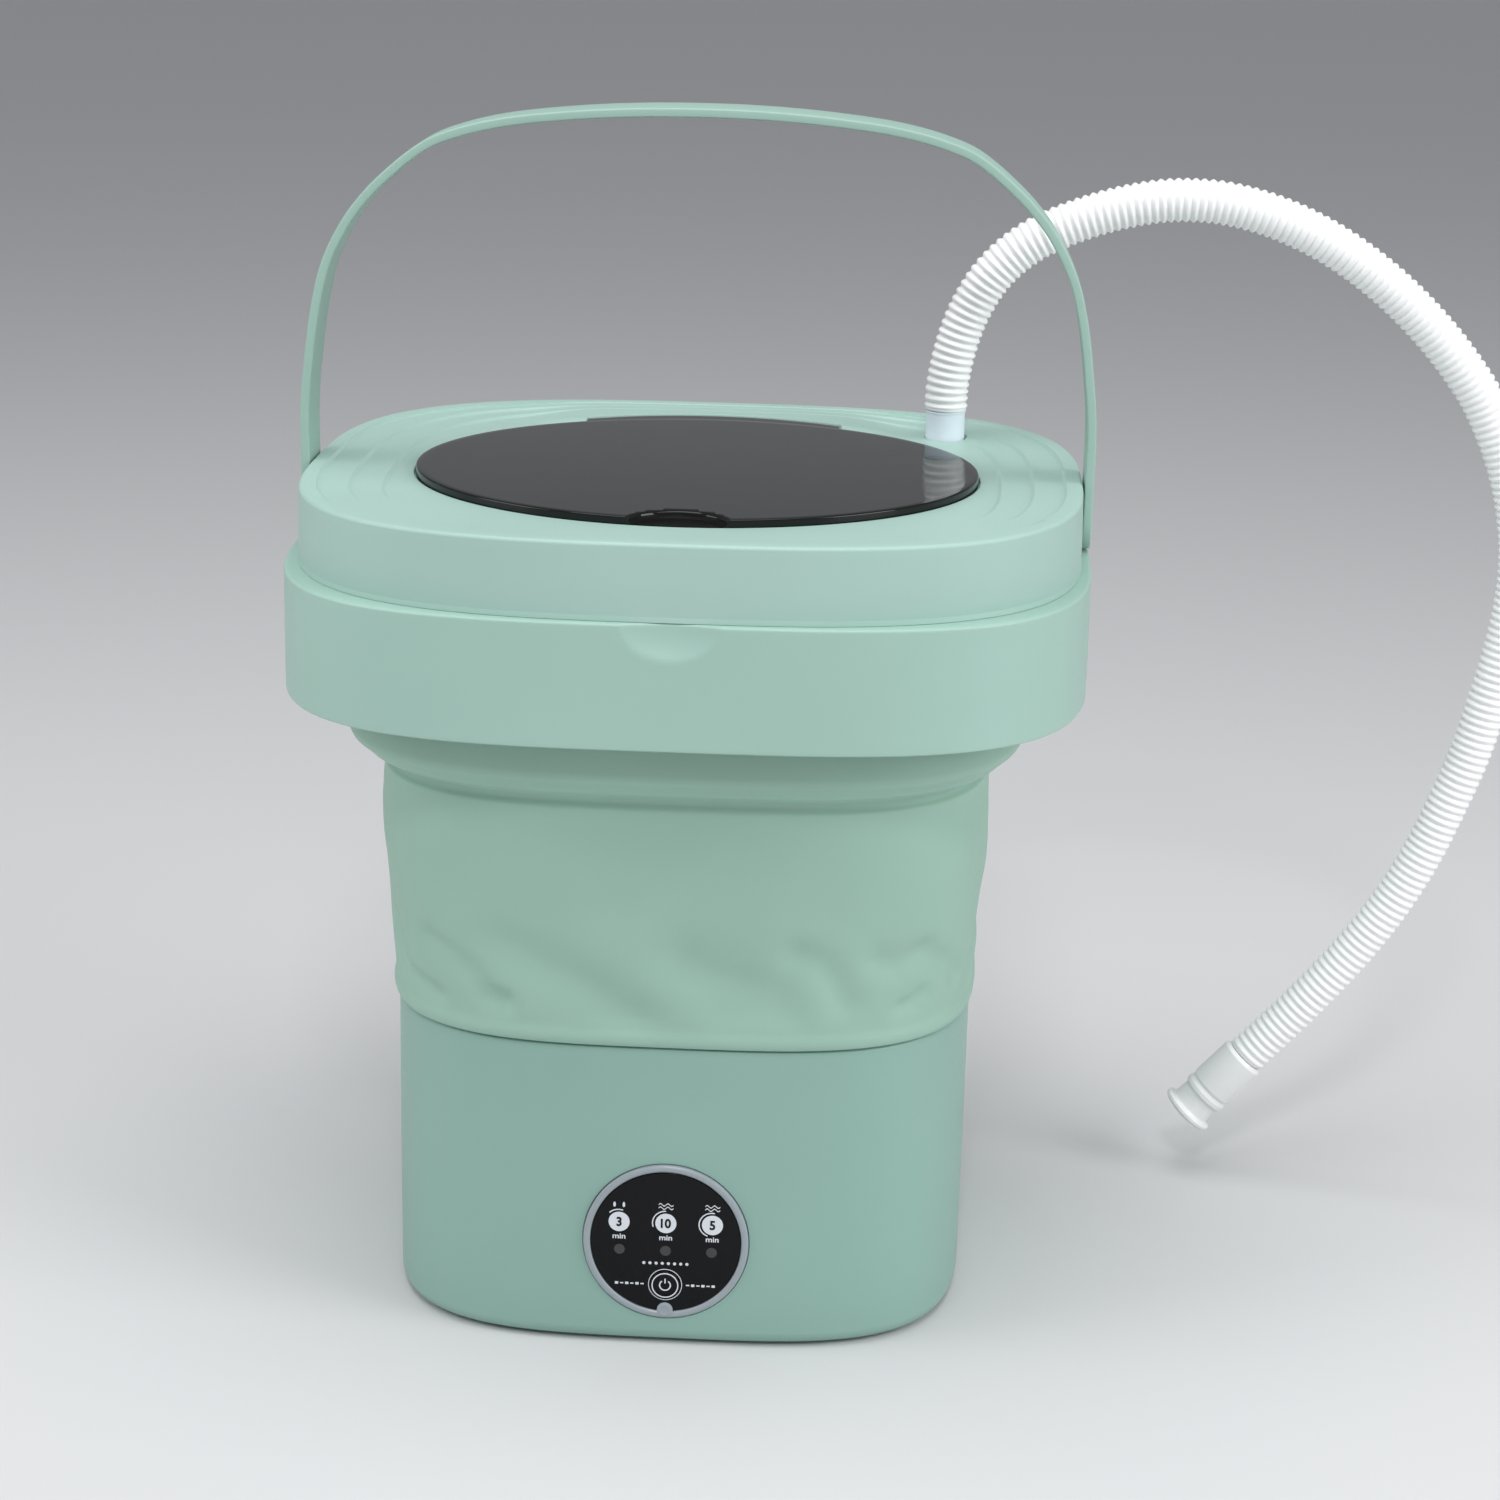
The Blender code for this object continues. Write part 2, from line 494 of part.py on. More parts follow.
for i, x in enumerate((-18.0 * MM, 0.0, 17.9 * MM)):
    led = turned("led_%d" % (i + 1), [
        (0, 0), (1.9 * MM, 0), (1.9 * MM, 0.8 * MM), (1.5 * MM, 0.8 * MM), (1.5 * MM, 4.6 * MM), (1.0 * MM, 5.6 * MM), (0, 6.1 * MM)],
        steps=12, centre=(x, -98.4 * MM, 40.5 * MM), rot=(math.pi / 2, 0, 0), closed=False)
    finish(led, (0.75, 0.78, 0.80), 0.2)

dc_jack = turned("dc_jack", [
    (0, 0), (5.6 * MM, 0), (5.6 * MM, 10.0 * MM), (6.0 * MM, 10.0 * MM), (6.0 * MM, 13.2 * MM), (8.4 * MM, 13.2 * MM),
    (8.4 * MM, 14.4 * MM), (7.8 * MM, 15.0 * MM), (3.3 * MM, 15.0 * MM), (3.3 * MM, 3.0 * MM), (0, 3.0 * MM)],
    steps=20, centre=(JACK_X, 91.9 * MM, JACK_Z), rot=(-math.pi / 2, 0, 0), closed=False)
finish(dc_jack, (0.03, 0.03, 0.03), 0.45)

motor_cable = tube("motor_cable", smooth_route([
    (0, -12.0 * MM, 26.6 * MM), (0, -20.0 * MM, 17.0 * MM), (0, -46.0 * MM, 13.5 * MM),
    (0, -74.0 * MM, 16.0 * MM), (0, -88.0 * MM, 24.0 * MM), (0, -92.0 * MM, 34.0 * MM), (0, -94.0 * MM, 42.0 * MM)], 16), 1.6 * MM)
finish(motor_cable, (0.02, 0.02, 0.02), 0.6)
jack_cable = tube("jack_cable", smooth_route([
    (JACK_X, 90.2 * MM, JACK_Z), (JACK_X - 2 * MM, 78.0 * MM, 24.0 * MM), (42.0 * MM, 45.0 * MM, 15.0 * MM),
    (38.0 * MM, -10.0 * MM, 13.0 * MM), (30.0 * MM, -60.0 * MM, 14.0 * MM), (22.0 * MM, -86.0 * MM, 22.0 * MM),
    (20.0 * MM, -92.0 * MM, 33.0 * MM), (20.0 * MM, -94.0 * MM, 42.0 * MM)], 30), 1.6 * MM)
finish(jack_cable, (0.3, 0.02, 0.02), 0.6)

# ---------------------------------------------------------------- soft folding tub
TUB_OUT = [(124.3, 115.6), (126.0, 116.7), (130.0, 116.8), (134.0, 116.4), (138.0, 116.6), (145.0, 117.2),
           (155.0, 117.6), (165.0, 118.3), (176.0, 119.5), (189.0, 120.3), (202.0, 120.4), (214.0, 119.7),
           (219.5, 119.6), (221.8, 120.3), (224.2, 122.5), (228.0, 126.5), (231.8, 130.4), (234.2, 132.4),
           (237.0, 133.4), (252.0, 133.5), (294.0, 133.5)]
TUB_IN = [(294.0, 131.5), (238.6, 131.3), (236.0, 130.7), (233.4, 128.9), (225.6, 121.0),
          (222.6, 118.2), (219.5, 117.5), (202.0, 118.3), (189.0, 118.2), (176.0, 117.4),
          (165.0, 116.2), (145.0, 114.9), (138.0, 114.3), (134.0, 113.3), (124.3, 113.0)]
bellows_tub = loft("bellows_tub", [ring(z * MM, w * MM, n=N_TUB) for z, w in TUB_OUT + TUB_IN], closed=True)
finish(bellows_tub, GREEN_SOFT, 0.5)

# ---------------------------------------------------------------- collar and lid frame
collar = loft("collar", [
    ring(253.3 * MM, 155.5 * MM, n=N_COLLAR), ring(275.0 * MM, 155.5 * MM, n=N_COLLAR),
    ring(299.3 * MM, 155.3 * MM, n=N_COLLAR), ring(300.0 * MM, 155.0 * MM, n=N_COLLAR),
    ring(Z_LEDGE, 154.2 * MM, n=N_COLLAR),
    ring(Z_LEDGE, 134.1 * MM, n=N_TUB), ring(283.0 * MM, 134.1 * MM, n=N_TUB),
    ring(283.0 * MM, 136.3 * MM, n=N_TUB), ring(297.5 * MM, 136.3 * MM, n=N_TUB),
    ring(297.5 * MM, 151.6 * MM, n=N_COLLAR), ring(295.0 * MM, 152.4 * MM, n=N_COLLAR),
    ring(275.0 * MM, 152.8 * MM, n=N_COLLAR), ring(253.3 * MM, 152.9 * MM, n=N_COLLAR),
], closed=True)
bpy.ops.mesh.primitive_uv_sphere_add(segments=20, ring_count=12, radius=1.0,
                                     location=(0, -145.2 * MM, 301.0 * MM))
dimple = bpy.context.active_object
dimple.name = "collar_dimple"
dimple.scale = (18.5 * MM, 4.0 * MM, 15.4 * MM)
bpy.ops.object.transform_apply(location=False, rotation=False, scale=True)
as_cutter(dimple)
boolean(collar, dimple)
finish(collar, GREEN, 0.42)

upper_clamp_ring = loft("upper_clamp_ring", [
    ring(284.5 * MM, 129.2 * MM, n=N_TUB), ring(296.6 * MM, 129.2 * MM, n=N_TUB),
    ring(296.6 * MM, 133.6 * MM, n=N_TUB), ring(294.4 * MM, 133.6 * MM, n=N_TUB),
    ring(294.4 * MM, 131.1 * MM, n=N_TUB), ring(284.5 * MM, 131.1 * MM, n=N_TUB),
], closed=True)
finish(upper_clamp_ring, GREEN, 0.5)


def oval(z, a, b):
    return (z, a, b, 2.0, 0.0, FLAP_Y)


lid_frame = loft("lid_frame", [
    ring(300.6 * MM, 151.2 * MM, 139.0 * MM, N_LID), ring(327.4 * MM, 151.1 * MM, 138.9 * MM, N_LID),
    ring(328.5 * MM, 150.6 * MM, 138.4 * MM, N_LID), ring(329.0 * MM, 149.5 * MM, 137.3 * MM, N_LID),
    ring(328.9 * MM, 147.2 * MM, 135.0 * MM, N_LID), ring(328.3 * MM, 142.0 * MM, 130.0 * MM, 2.8),
    ring(327.0 * MM, 126.0 * MM, 116.0 * MM, 2.4),
    oval(326.5 * MM, FLAP_A + 1.4 * MM, FLAP_B + 1.4 * MM), oval(326.2 * MM, FLAP_A + 0.8 * MM, FLAP_B + 0.8 * MM),
    oval(324.2 * MM, FLAP_A + 0.8 * MM, FLAP_B + 0.8 * MM),
    oval(324.2 * MM, FLAP_A - 9.5 * MM, FLAP_B - 9.5 * MM), oval(321.4 * MM, FLAP_A - 9.5 * MM, FLAP_B - 9.5 * MM),
    oval(321.4 * MM, FLAP_A + 2.5 * MM, FLAP_B + 2.5 * MM),
    ring(324.2 * MM, 126.0 * MM, 116.0 * MM, 2.4), ring(325.6 * MM, 142.0 * MM, 130.0 * MM, 2.8),
    ring(325.4 * MM, 147.0 * MM, 134.8 * MM, N_LID), ring(323.0 * MM, 148.7 * MM, 136.5 * MM, N_LID),
    ring(300.6 * MM, 148.8 * MM, 136.6 * MM, N_LID),
], closed=True)
notch = as_cutter(box("notch", (-HINGE_HALF - 0.9 * MM, 84.0 * MM, 316.0 * MM), (HINGE_HALF + 0.9 * MM, 120.0 * MM, 334.0 * MM)))
notch_round = as_cutter(cylinder("notch_round", ARC_NOTCH, 40.0 * MM, (0, ARC_Y, 325.0 * MM), verts=128))
boolean(notch, notch_round, "INTERSECT")
hinge_ears = as_cutter(join_meshes("hinge_ears", [
    box("e", (s * 58.0 * MM - 3.4 * MM, Y_HINGE - 4.6 * MM, 320.0 * MM),
        (s * 58.0 * MM + 3.4 * MM, Y_HINGE + 4.6 * MM, 325.8 * MM)) for s in (-1, 1)]))
boolean(lid_frame, hinge_ears, "UNION")
boolean(lid_frame, notch)
hose_hole = as_cutter(cylinder("lid_hose_hole", 9.0 * MM, 30.0 * MM, (HOSE_XY[0] + 0.4 * MM, HOSE_XY[1], 322.0 * MM), verts=40))
boolean(lid_frame, hose_hole)
pin_bore = as_cutter(cylinder("lid_pin_bore", 1.5 * MM, 123.8 * MM, (0, Y_HINGE, Z_HINGE), (0, math.pi / 2, 0), 16))
boolean(lid_frame, pin_bore)
wall_holes = as_cutter(join_meshes("lid_wall_holes", [
    cylinder("w", 3.4 * MM, 12.0 * MM, (s * 150.0 * MM, 0, HANDLE_PIVOT_Z), (0, math.pi / 2, 0), 24) for s in (-1, 1)]))
boolean(lid_frame, wall_holes)
finish(lid_frame, GREEN_LID, 0.4)

hinge_pin = cylinder("hinge_pin", 1.1 * MM, 122.4 * MM, (0, Y_HINGE, Z_HINGE), (0, math.pi / 2, 0), 16)
finish(hinge_pin, (0.6, 0.6, 0.62), 0.25, 1.0)

# flip lid: oval plate with a finger scoop, a rounded tab behind and a hinge barrel
flip_lid = loft("flip_lid", [
    oval(324.6 * MM, FLAP_A - 1.0 * MM, FLAP_B - 1.0 * MM), oval(325.0 * MM, FLAP_A - 0.4 * MM, FLAP_B - 0.4 * MM),
    oval(327.6 * MM, FLAP_A, FLAP_B), oval(328.5 * MM, FLAP_A - 0.4 * MM, FLAP_B - 0.4 * MM),
    oval(328.9 * MM, FLAP_A - 1.4 * MM, FLAP_B - 1.4 * MM)], cap_start=True, cap_end=True)
flip_tab = as_cutter(box("flip_tab", (-HINGE_HALF, 70.0 * MM, 324.6 * MM), (HINGE_HALF, 120.0 * MM, 328.6 * MM)))
tab_round = as_cutter(cylinder("flip_tab_round", ARC_TAB, 20.0 * MM, (0, ARC_Y, 326.0 * MM), verts=128))
boolean(flip_tab, tab_round, "INTERSECT")
boolean(flip_lid, flip_tab, "UNION")
flip_barrel = as_cutter(cylinder("flip_barrel", 2.9 * MM, 2 * HINGE_HALF, (0, Y_HINGE, Z_HINGE), (0, math.pi / 2, 0), 20))
boolean(flip_lid, flip_barrel, "UNION")
flip_bore = as_cutter(cylinder("flip_pin_bore", 1.4 * MM, 160.0 * MM, (0, Y_HINGE, Z_HINGE), (0, math.pi / 2, 0), 16))
boolean(flip_lid, flip_bore)
bpy.ops.mesh.primitive_uv_sphere_add(segments=24, ring_count=12, radius=1.0,
                                     location=(0, -97.5 * MM, 329.3 * MM))
scoop = bpy.context.active_object
scoop.name = "flip_scoop"
scoop.scale = (21.5 * MM, 23.5 * MM, 3.0 * MM)
bpy.ops.object.transform_apply(location=False, rotation=False, scale=True)
as_cutter(scoop)
boolean(flip_lid, scoop)
finish(flip_lid, (0.035, 0.035, 0.036), 0.1)

# ---------------------------------------------------------------- carrying handle
ARCH = [(155.6, 312.8), (155.7, 330.0), (155.7, 346.0), (155.0, 358.0), (153.6, 370.0), (152.0, 382.0), (149.8, 394.0),
        (146.6, 406.0), (141.4, 417.5), (134.0, 429.0), (123.5, 440.5), (108.0, 453.0), (94.0, 459.1),
        (75.0, 463.7), (50.0, 466.8), (25.0, 468.5), (0.0, 469.0)]


def arch_outline():
    """Closed outline of the strap seen from the front: outer edge out and over, inner edge back."""
    side = [Vector((x * MM, z * MM, 0)) for x, z in ARCH]
    outer = side + [Vector((-p.x, p.y, 0)) for p in reversed(side[:-1])]
    outer = [Vector((p.x, p.y, 0)) for p in smooth_route(outer, 73)]
    inner = []
    for i, p in enumerate(outer):
        a = outer[max(i - 1, 0)]
        b = outer[min(i + 1, len(outer) - 1)]
        t = (b - a).normalized()
        inner.append(p + Vector((-t.y, t.x, 0)) * HANDLE_T)
    return outer + list(reversed(inner))


pts = arch_outline()
cu = bpy.data.curves.new("handle_outline", "CURVE")
cu.dimensions = "2D"
cu.fill_mode = "BOTH"
cu.extrude = HANDLE_DEPTH / 2
sp = cu.splines.new("POLY")
sp.points.add(len(pts) - 1)
for q, p in zip(sp.points, pts):
    q.co = (p.x, p.y - HANDLE_PIVOT_Z, 0.0, 1.0)
sp.use_cyclic_u = True
strap = bpy.data.objects.new("handle_strap_curve", cu)
bpy.context.scene.collection.objects.link(strap)
bpy.context.view_layer.update()
dg = bpy.context.evaluated_depsgraph_get()
handle_mesh = bpy.data.meshes.new_from_object(strap.evaluated_get(dg))
bpy.data.objects.remove(strap, do_unlink=True)
bm = bmesh.new()
bm.from_mesh(handle_mesh)
bmesh.ops.remove_doubles(bm, verts=list(bm.verts), dist=1e-6)
bmesh.ops.rotate(bm, verts=list(bm.verts), cent=(0, 0, 0), matrix=Matrix.Rotation(math.pi / 2, 3, "X"))
bmesh.ops.recalc_face_normals(bm, faces=list(bm.faces))
bm.to_mesh(handle_mesh)
bm.free()
handle = bpy.data.objects.new("handle", handle_mesh)
washer.objects.link(handle)
handle_axis = bpy.data.objects.new("handle_axis", None)
washer.objects.link(handle_axis)
handle_axis.location = (0, 0, HANDLE_PIVOT_Z)
handle.parent = handle_axis
for s, nm in ((-1, "left"), (1, "right")):
    eye = as_cutter(cylinder("handle_eye_" + nm, HANDLE_DEPTH / 2, HANDLE_T, (s * (155.6 * MM - HANDLE_T / 2), 0, HANDLE_PIVOT_Z),
                             (0, math.pi / 2, 0), 40))
    boolean(handle, eye, "UNION")
for s, nm in ((-1, "left"), (1, "right")):
    sock = as_cutter(cylinder("handle_socket_" + nm, 3.4 * MM, 8.0 * MM, (s * (154.6 * MM - 4.0 * MM), 0, HANDLE_PIVOT_Z),
                              (0, math.pi / 2, 0), 24))
    boolean(handle, sock)
finish(handle, GREEN, 0.45)

for s, nm in ((-1, "left"), (1, "right")):
    pin = turned("handle_pin_" + nm, [
        (0, 0), (6.5 * MM, 0), (6.5 * MM, 2.0 * MM), (3.1 * MM, 2.0 * MM), (3.1 * MM, 7.6 * MM), (2.7 * MM, 8.0 * MM), (0, 8.0 * MM)],
        steps=16, centre=(s * 146.3 * MM, 0, HANDLE_PIVOT_Z), rot=(0, s * math.pi / 2, 0), closed=False)
    finish(pin, GREEN, 0.45)

# ---------------------------------------------------------------- drain hose
hose_cuff = turned("hose_cuff", [
    (6.2 * MM, 0), (11.0 * MM, 0), (11.0 * MM, 2.0 * MM), (CUFF_R, 2.0 * MM), (CUFF_R, Z_CUFF_TOP - 318.0 * MM - 0.6 * MM),
    (CUFF_R - 0.4 * MM, Z_CUFF_TOP - 318.0 * MM), (6.2 * MM, Z_CUFF_TOP - 318.0 * MM)], steps=24,
    centre=(HOSE_XY[0], HOSE_XY[1], 318.0 * MM))
finish(hose_cuff, (0.74, 0.80, 0.86), 0.35)

riser_hose = tube("riser_hose", smooth_route([
    (HOSE_XY[0], HOSE_XY[1], 317.6 * MM), (HOSE_XY[0] - 0.3 * MM, HOSE_XY[1] - 0.3 * MM, 300.0 * MM),
    (94.5 * MM, 81.5 * MM, 270.0 * MM), (88.0 * MM, 75.5 * MM, 232.0 * MM), (81.0 * MM, 69.5 * MM, 190.0 * MM),
    (77.5 * MM, 66.6 * MM, 155.0 * MM), (PORT[0], PORT[1], 134.0 * MM)], 12), 7.2 * MM, 3)
finish(riser_hose, (0.83, 0.84, 0.84), 0.5)

HOSE_Y = HOSE_XY[1]
HOSE_ROUTE = [(97.6, 339.0), (98.0, 349.6), (100.6, 364.3), (105.5, 379.5), (114.0, 394.6), (125.7, 406.4), (140.1, 415.0),
              (159.7, 422.5), (178.9, 427.0), (194.6, 428.2), (210.9, 426.9), (228.5, 422.5), (245.9, 415.4),
              (262.4, 406.0), (279.5, 393.4), (296.0, 378.0), (309.9, 362.0), (320.8, 346.0), (331.8, 321.9),
              (337.0, 297.0), (336.6, 272.5), (332.0, 248.0), (326.3, 222.8), (320.0, 197.5),
              (313.0, 176.6), (304.8, 154.8), (294.5, 132.4), (280.0, 108.6), (260.6, 82.4), (241.2, 61.6)]
HOSE_PTS = smooth_route([(x * MM, HOSE_Y, z * MM) for x, z in HOSE_ROUTE], 34)
drain_hose = tube("drain_hose", HOSE_PTS, HOSE_R, 3)
finish(drain_hose, (0.86, 0.87, 0.87), 0.45)

END = Vector(HOSE_PTS[-1])
END_DIR = (Vector(HOSE_PTS[-1]) - Vector(HOSE_PTS[-2])).normalized()
END_ROT = Vector((0, 0, 1)).rotation_difference(END_DIR).to_euler()
hose_end_fitting = turned("hose_end_fitting", [
    (0, 0), (9.6 * MM, 0), (10.2 * MM, 1.0 * MM), (10.2 * MM, 17.0 * MM), (9.6 * MM, 18.2 * MM), (9.6 * MM, 20.0 * MM),
    (10.4 * MM, 20.8 * MM), (10.4 * MM, 23.0 * MM), (8.6 * MM, 24.2 * MM), (8.6 * MM, 31.0 * MM), (12.0 * MM, 31.6 * MM),
    (12.0 * MM, 33.6 * MM), (10.5 * MM, 34.4 * MM), (0, 35.2 * MM)], steps=24,
    centre=END + END_DIR * GAP, rot=END_ROT, closed=False)
finish(hose_end_fitting, (0.88, 0.89, 0.89), 0.4)

# pivots of the moving pieces
flip_axis = bpy.data.objects.new("flip_lid_axis", None)
washer.objects.link(flip_axis)
flip_axis.location = (0, Y_HINGE, Z_HINGE)
flip_lid.parent = flip_axis
flip_lid.matrix_parent_inverse = Matrix.Translation((0, -Y_HINGE, -Z_HINGE))
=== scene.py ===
"""Looks of the portable folding mini washer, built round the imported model."""

import bpy
import bmesh
import json
import math
import numpy as np
from mathutils import Matrix, Vector

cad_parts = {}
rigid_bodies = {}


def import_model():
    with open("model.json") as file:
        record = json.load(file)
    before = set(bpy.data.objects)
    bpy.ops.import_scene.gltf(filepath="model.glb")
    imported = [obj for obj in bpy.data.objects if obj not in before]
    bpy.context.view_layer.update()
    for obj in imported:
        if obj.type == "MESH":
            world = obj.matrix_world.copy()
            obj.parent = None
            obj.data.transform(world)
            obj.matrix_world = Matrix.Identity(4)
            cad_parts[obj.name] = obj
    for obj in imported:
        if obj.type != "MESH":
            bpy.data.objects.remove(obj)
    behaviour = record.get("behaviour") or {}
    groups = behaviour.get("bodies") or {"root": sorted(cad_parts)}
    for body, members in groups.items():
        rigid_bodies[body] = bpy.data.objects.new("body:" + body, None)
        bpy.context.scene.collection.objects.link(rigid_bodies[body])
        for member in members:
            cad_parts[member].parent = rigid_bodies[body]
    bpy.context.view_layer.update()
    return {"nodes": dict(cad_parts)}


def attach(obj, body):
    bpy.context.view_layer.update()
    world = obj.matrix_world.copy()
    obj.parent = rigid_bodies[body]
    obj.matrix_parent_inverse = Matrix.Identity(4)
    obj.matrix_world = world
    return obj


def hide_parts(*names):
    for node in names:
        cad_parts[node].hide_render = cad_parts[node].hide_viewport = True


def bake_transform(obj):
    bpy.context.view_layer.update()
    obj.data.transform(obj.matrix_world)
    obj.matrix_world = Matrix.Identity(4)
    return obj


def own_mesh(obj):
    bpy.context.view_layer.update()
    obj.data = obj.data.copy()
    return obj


for _o in list(bpy.data.objects):
    bpy.data.objects.remove(_o, do_unlink=True)

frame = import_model()

# ------------------------------------------------------------------ camera
ORBIT = Matrix.Rotation(math.radians(-1.0), 3, "Z")
CAM = ORBIT @ Vector((0.1101, -1.2379, 0.5839))
BACK = ORBIT @ Vector((0.0671, -0.9557, 0.2865)).normalized()
fwd = -BACK
right = fwd.cross(Vector((0, 0, 1))).normalized()
up = right.cross(fwd).normalized()
roll = math.radians(1.1855)
right2 = right * math.cos(roll) + up * math.sin(roll)
up2 = up * math.cos(roll) - right * math.sin(roll)
cam_data = bpy.data.cameras.new("camera")
cam_data.sensor_width = 36.0
cam_data.sensor_fit = "HORIZONTAL"
cam_data.lens = 3200.0 * 36.0 / 1500.0
cam_data.clip_start = 0.02
cam_data.clip_end = 100.0
cam = bpy.data.objects.new("camera", cam_data)
bpy.context.scene.collection.objects.link(cam)
rot = Matrix((right2, up2, BACK)).transposed()
cam.matrix_world = Matrix.Translation(CAM) @ rot.to_4x4()
bpy.context.scene.camera = cam

# ------------------------------------------------------------------ sizes shared with the solid model
W_COLLAR, D_COLLAR, N_COLLAR = 0.1555, 0.1555 * 0.92, 3.47
W_LID, D_LID, N_LID = 0.1512, 0.1390, 3.0
Z_LEDGE = 0.3003
FLAP_A, FLAP_B, FLAP_Y = 0.1110, 0.0980, 0.0010
Y_HINGE, Z_HINGE, HINGE_HALF = 0.0964, 0.3246, 0.0531
ARC_Y, ARC_TAB, ARC_NOTCH = 0.0027, 0.1094, 0.1113
PIVOT_Z = 0.3128
HOSE = (0.0976, 0.0848)
PANEL_Z, PANEL_Y = 0.0443, -0.1072
LENS_R, BEZEL_R = 0.0292, 0.0322
BUTTON_Z, BUTTON_R = 0.0263, 0.0059
W_TUB, N_TUB = 0.1156, 3.35


# ------------------------------------------------------------------ mesh helpers
def outline(ang, w, d, n):
    c, s = np.cos(ang), np.sin(ang)
    r = 1.0 / ((np.abs(c) / w) ** n + (np.abs(s) / d) ** n) ** (1.0 / n)
    return r * c, r * s


def fillet(pts, closed=False, steps=5):
    """Round the corners of a profile. pts are (offset, z, radius)."""
    out = []
    k = len(pts)
    for i, (x, z, r) in enumerate(pts):
        if r <= 0 or (not closed and i in (0, k - 1)):
            out.append((x, z))
            continue
        p = np.array([x, z])
        a = np.array(pts[i - 1][:2]) - p
        b = np.array(pts[(i + 1) % k][:2]) - p
        la, lb = np.linalg.norm(a), np.linalg.norm(b)
        a, b = a / la, b / lb
        half = math.acos(max(-1.0, min(1.0, float(a @ b)))) / 2
        if half > math.radians(88):
            out.append((x, z))
            continue
        t = min(r / math.tan(half), la * 0.48, lb * 0.48)
        rr = t * math.tan(half)
        c = p + (a + b) / np.linalg.norm(a + b) * (rr / math.sin(half))
        p0, p1 = p + a * t, p + b * t
        a0 = math.atan2(p0[1] - c[1], p0[0] - c[0])
        a1 = math.atan2(p1[1] - c[1], p1[0] - c[0])
        da = (a1 - a0 + math.pi) % (2 * math.pi) - math.pi
        for j in range(steps + 1):
            q = a0 + da * j / steps
            out.append((c[0] + rr * math.cos(q), c[1] + rr * math.sin(q)))
    return out


def dense(profile, step, closed=False):
    """Add points along the straight stretches so that no step is longer than step."""
    out = []
    k = len(profile)
    for i in range(k if closed else k - 1):
        a, b = np.array(profile[i]), np.array(profile[(i + 1) % k])
        m = max(1, int(math.ceil(np.linalg.norm(b - a) / step)))
        for j in range(m):
            out.append(tuple(a + (b - a) * j / m))
    if not closed:
        out.append(profile[-1])
    return out


def new_object(name, verts, faces, smooth=True, sharp=None):
    me = bpy.data.meshes.new(name)
    me.from_pydata([tuple(map(float, v)) for v in verts], [], faces)
    me.validate()
    bm = bmesh.new()
    bm.from_mesh(me)
    bmesh.ops.remove_doubles(bm, verts=list(bm.verts), dist=1e-7)
    bmesh.ops.recalc_face_normals(bm, faces=list(bm.faces))
    bm.to_mesh(me)
    bm.free()
    if smooth:
        me.polygons.foreach_set("use_smooth", [True] * len(me.polygons))
        if sharp:
            me.set_sharp_from_angle(angle=math.radians(sharp))
    ob = bpy.data.objects.new(name, me)
    bpy.context.scene.collection.objects.link(ob)
    return ob


def grid(rings, closed_u=True, closed_v=False, cap_start=False, cap_end=False):
    """rings: array (R, N, 3). Returns verts and faces of the swept sheet."""
    R, N, _ = rings.shape
    verts = rings.reshape(-1, 3)
    faces = []
    for i in range(R if closed_v else R - 1):
        a, b = i * N, ((i + 1) % R) * N
        for j in range(N if closed_u else N - 1):
            k = (j + 1) % N
            faces.append((a + j, a + k, b + k, b + j))
    verts = list(map(tuple, verts))
    for flag, row in ((cap_start, 0), (cap_end, R - 1)):
        if flag:
            c = len(verts)
            verts.append(tuple(rings[row].mean(axis=0)))
            base = row * N
            for j in range(N):
                faces.append((base + j, base + (j + 1) % N, c))
    return verts, faces


def ring_xyz(ang, w, d, n, z, cx=0.0, cy=0.0):
    x, y = outline(ang, w, d, n)
    return np.stack([x + cx, y + cy, np.full_like(x, z)], axis=1)


def uniform(n, extra_front=None):
    a = np.linspace(0, 2 * math.pi, n, endpoint=False)
    if extra_front:
        lo, hi, m = extra_front
        f = np.linspace(lo, hi, m)
        a = np.array([t for t in a if not lo - 1e-6 < t < hi + 1e-6])
        a = np.sort(np.concatenate([a, f]))
    return a


def smooth_route(points, step=0.001):
    """Catmull-Rom curve through the points, read off at equal spacing. Returns points and length."""
    P = [np.array(p, float) for p in points]
    P = [2 * P[0] - P[1]] + P + [2 * P[-1] - P[-2]]
    out = []
    for i in range(1, len(P) - 2):
        a, b, c, d = P[i - 1], P[i], P[i + 1], P[i + 2]
        for k in range(40):
            t = k / 40
            out.append(0.5 * ((2 * b) + (c - a) * t + (2 * a - 5 * b + 4 * c - d) * t * t
                              + (3 * b - a - 3 * c + d) * t ** 3))
    out.append(P[-2])
    out = np.array(out)
    s = np.concatenate([[0], np.cumsum(np.linalg.norm(np.diff(out, axis=0), axis=1))])
    m = max(2, int(round(s[-1] / step)) + 1)
    u = np.linspace(0, s[-1], m)
    return np.stack([np.interp(u, s, out[:, k]) for k in range(3)], axis=1), float(s[-1])


def sweep_round(points, radii, segs, plane_normal=(0, 1, 0)):
    """Round section swept along a route that stays near one plane."""
    P = np.array(points)
    T = np.gradient(P, axis=0)
    T /= np.linalg.norm(T, axis=1)[:, None]
    B = np.array(plane_normal, float)
    rings = []
    for p, t, r in zip(P, T, radii):
        n1 = np.cross(B, t)
        n1 /= np.linalg.norm(n1)
        b1 = np.cross(t, n1)
        a = np.linspace(0, 2 * math.pi, segs, endpoint=False)
        rings.append(p + r * (np.cos(a)[:, None] * n1 + np.sin(a)[:, None] * b1))
    return np.array(rings)


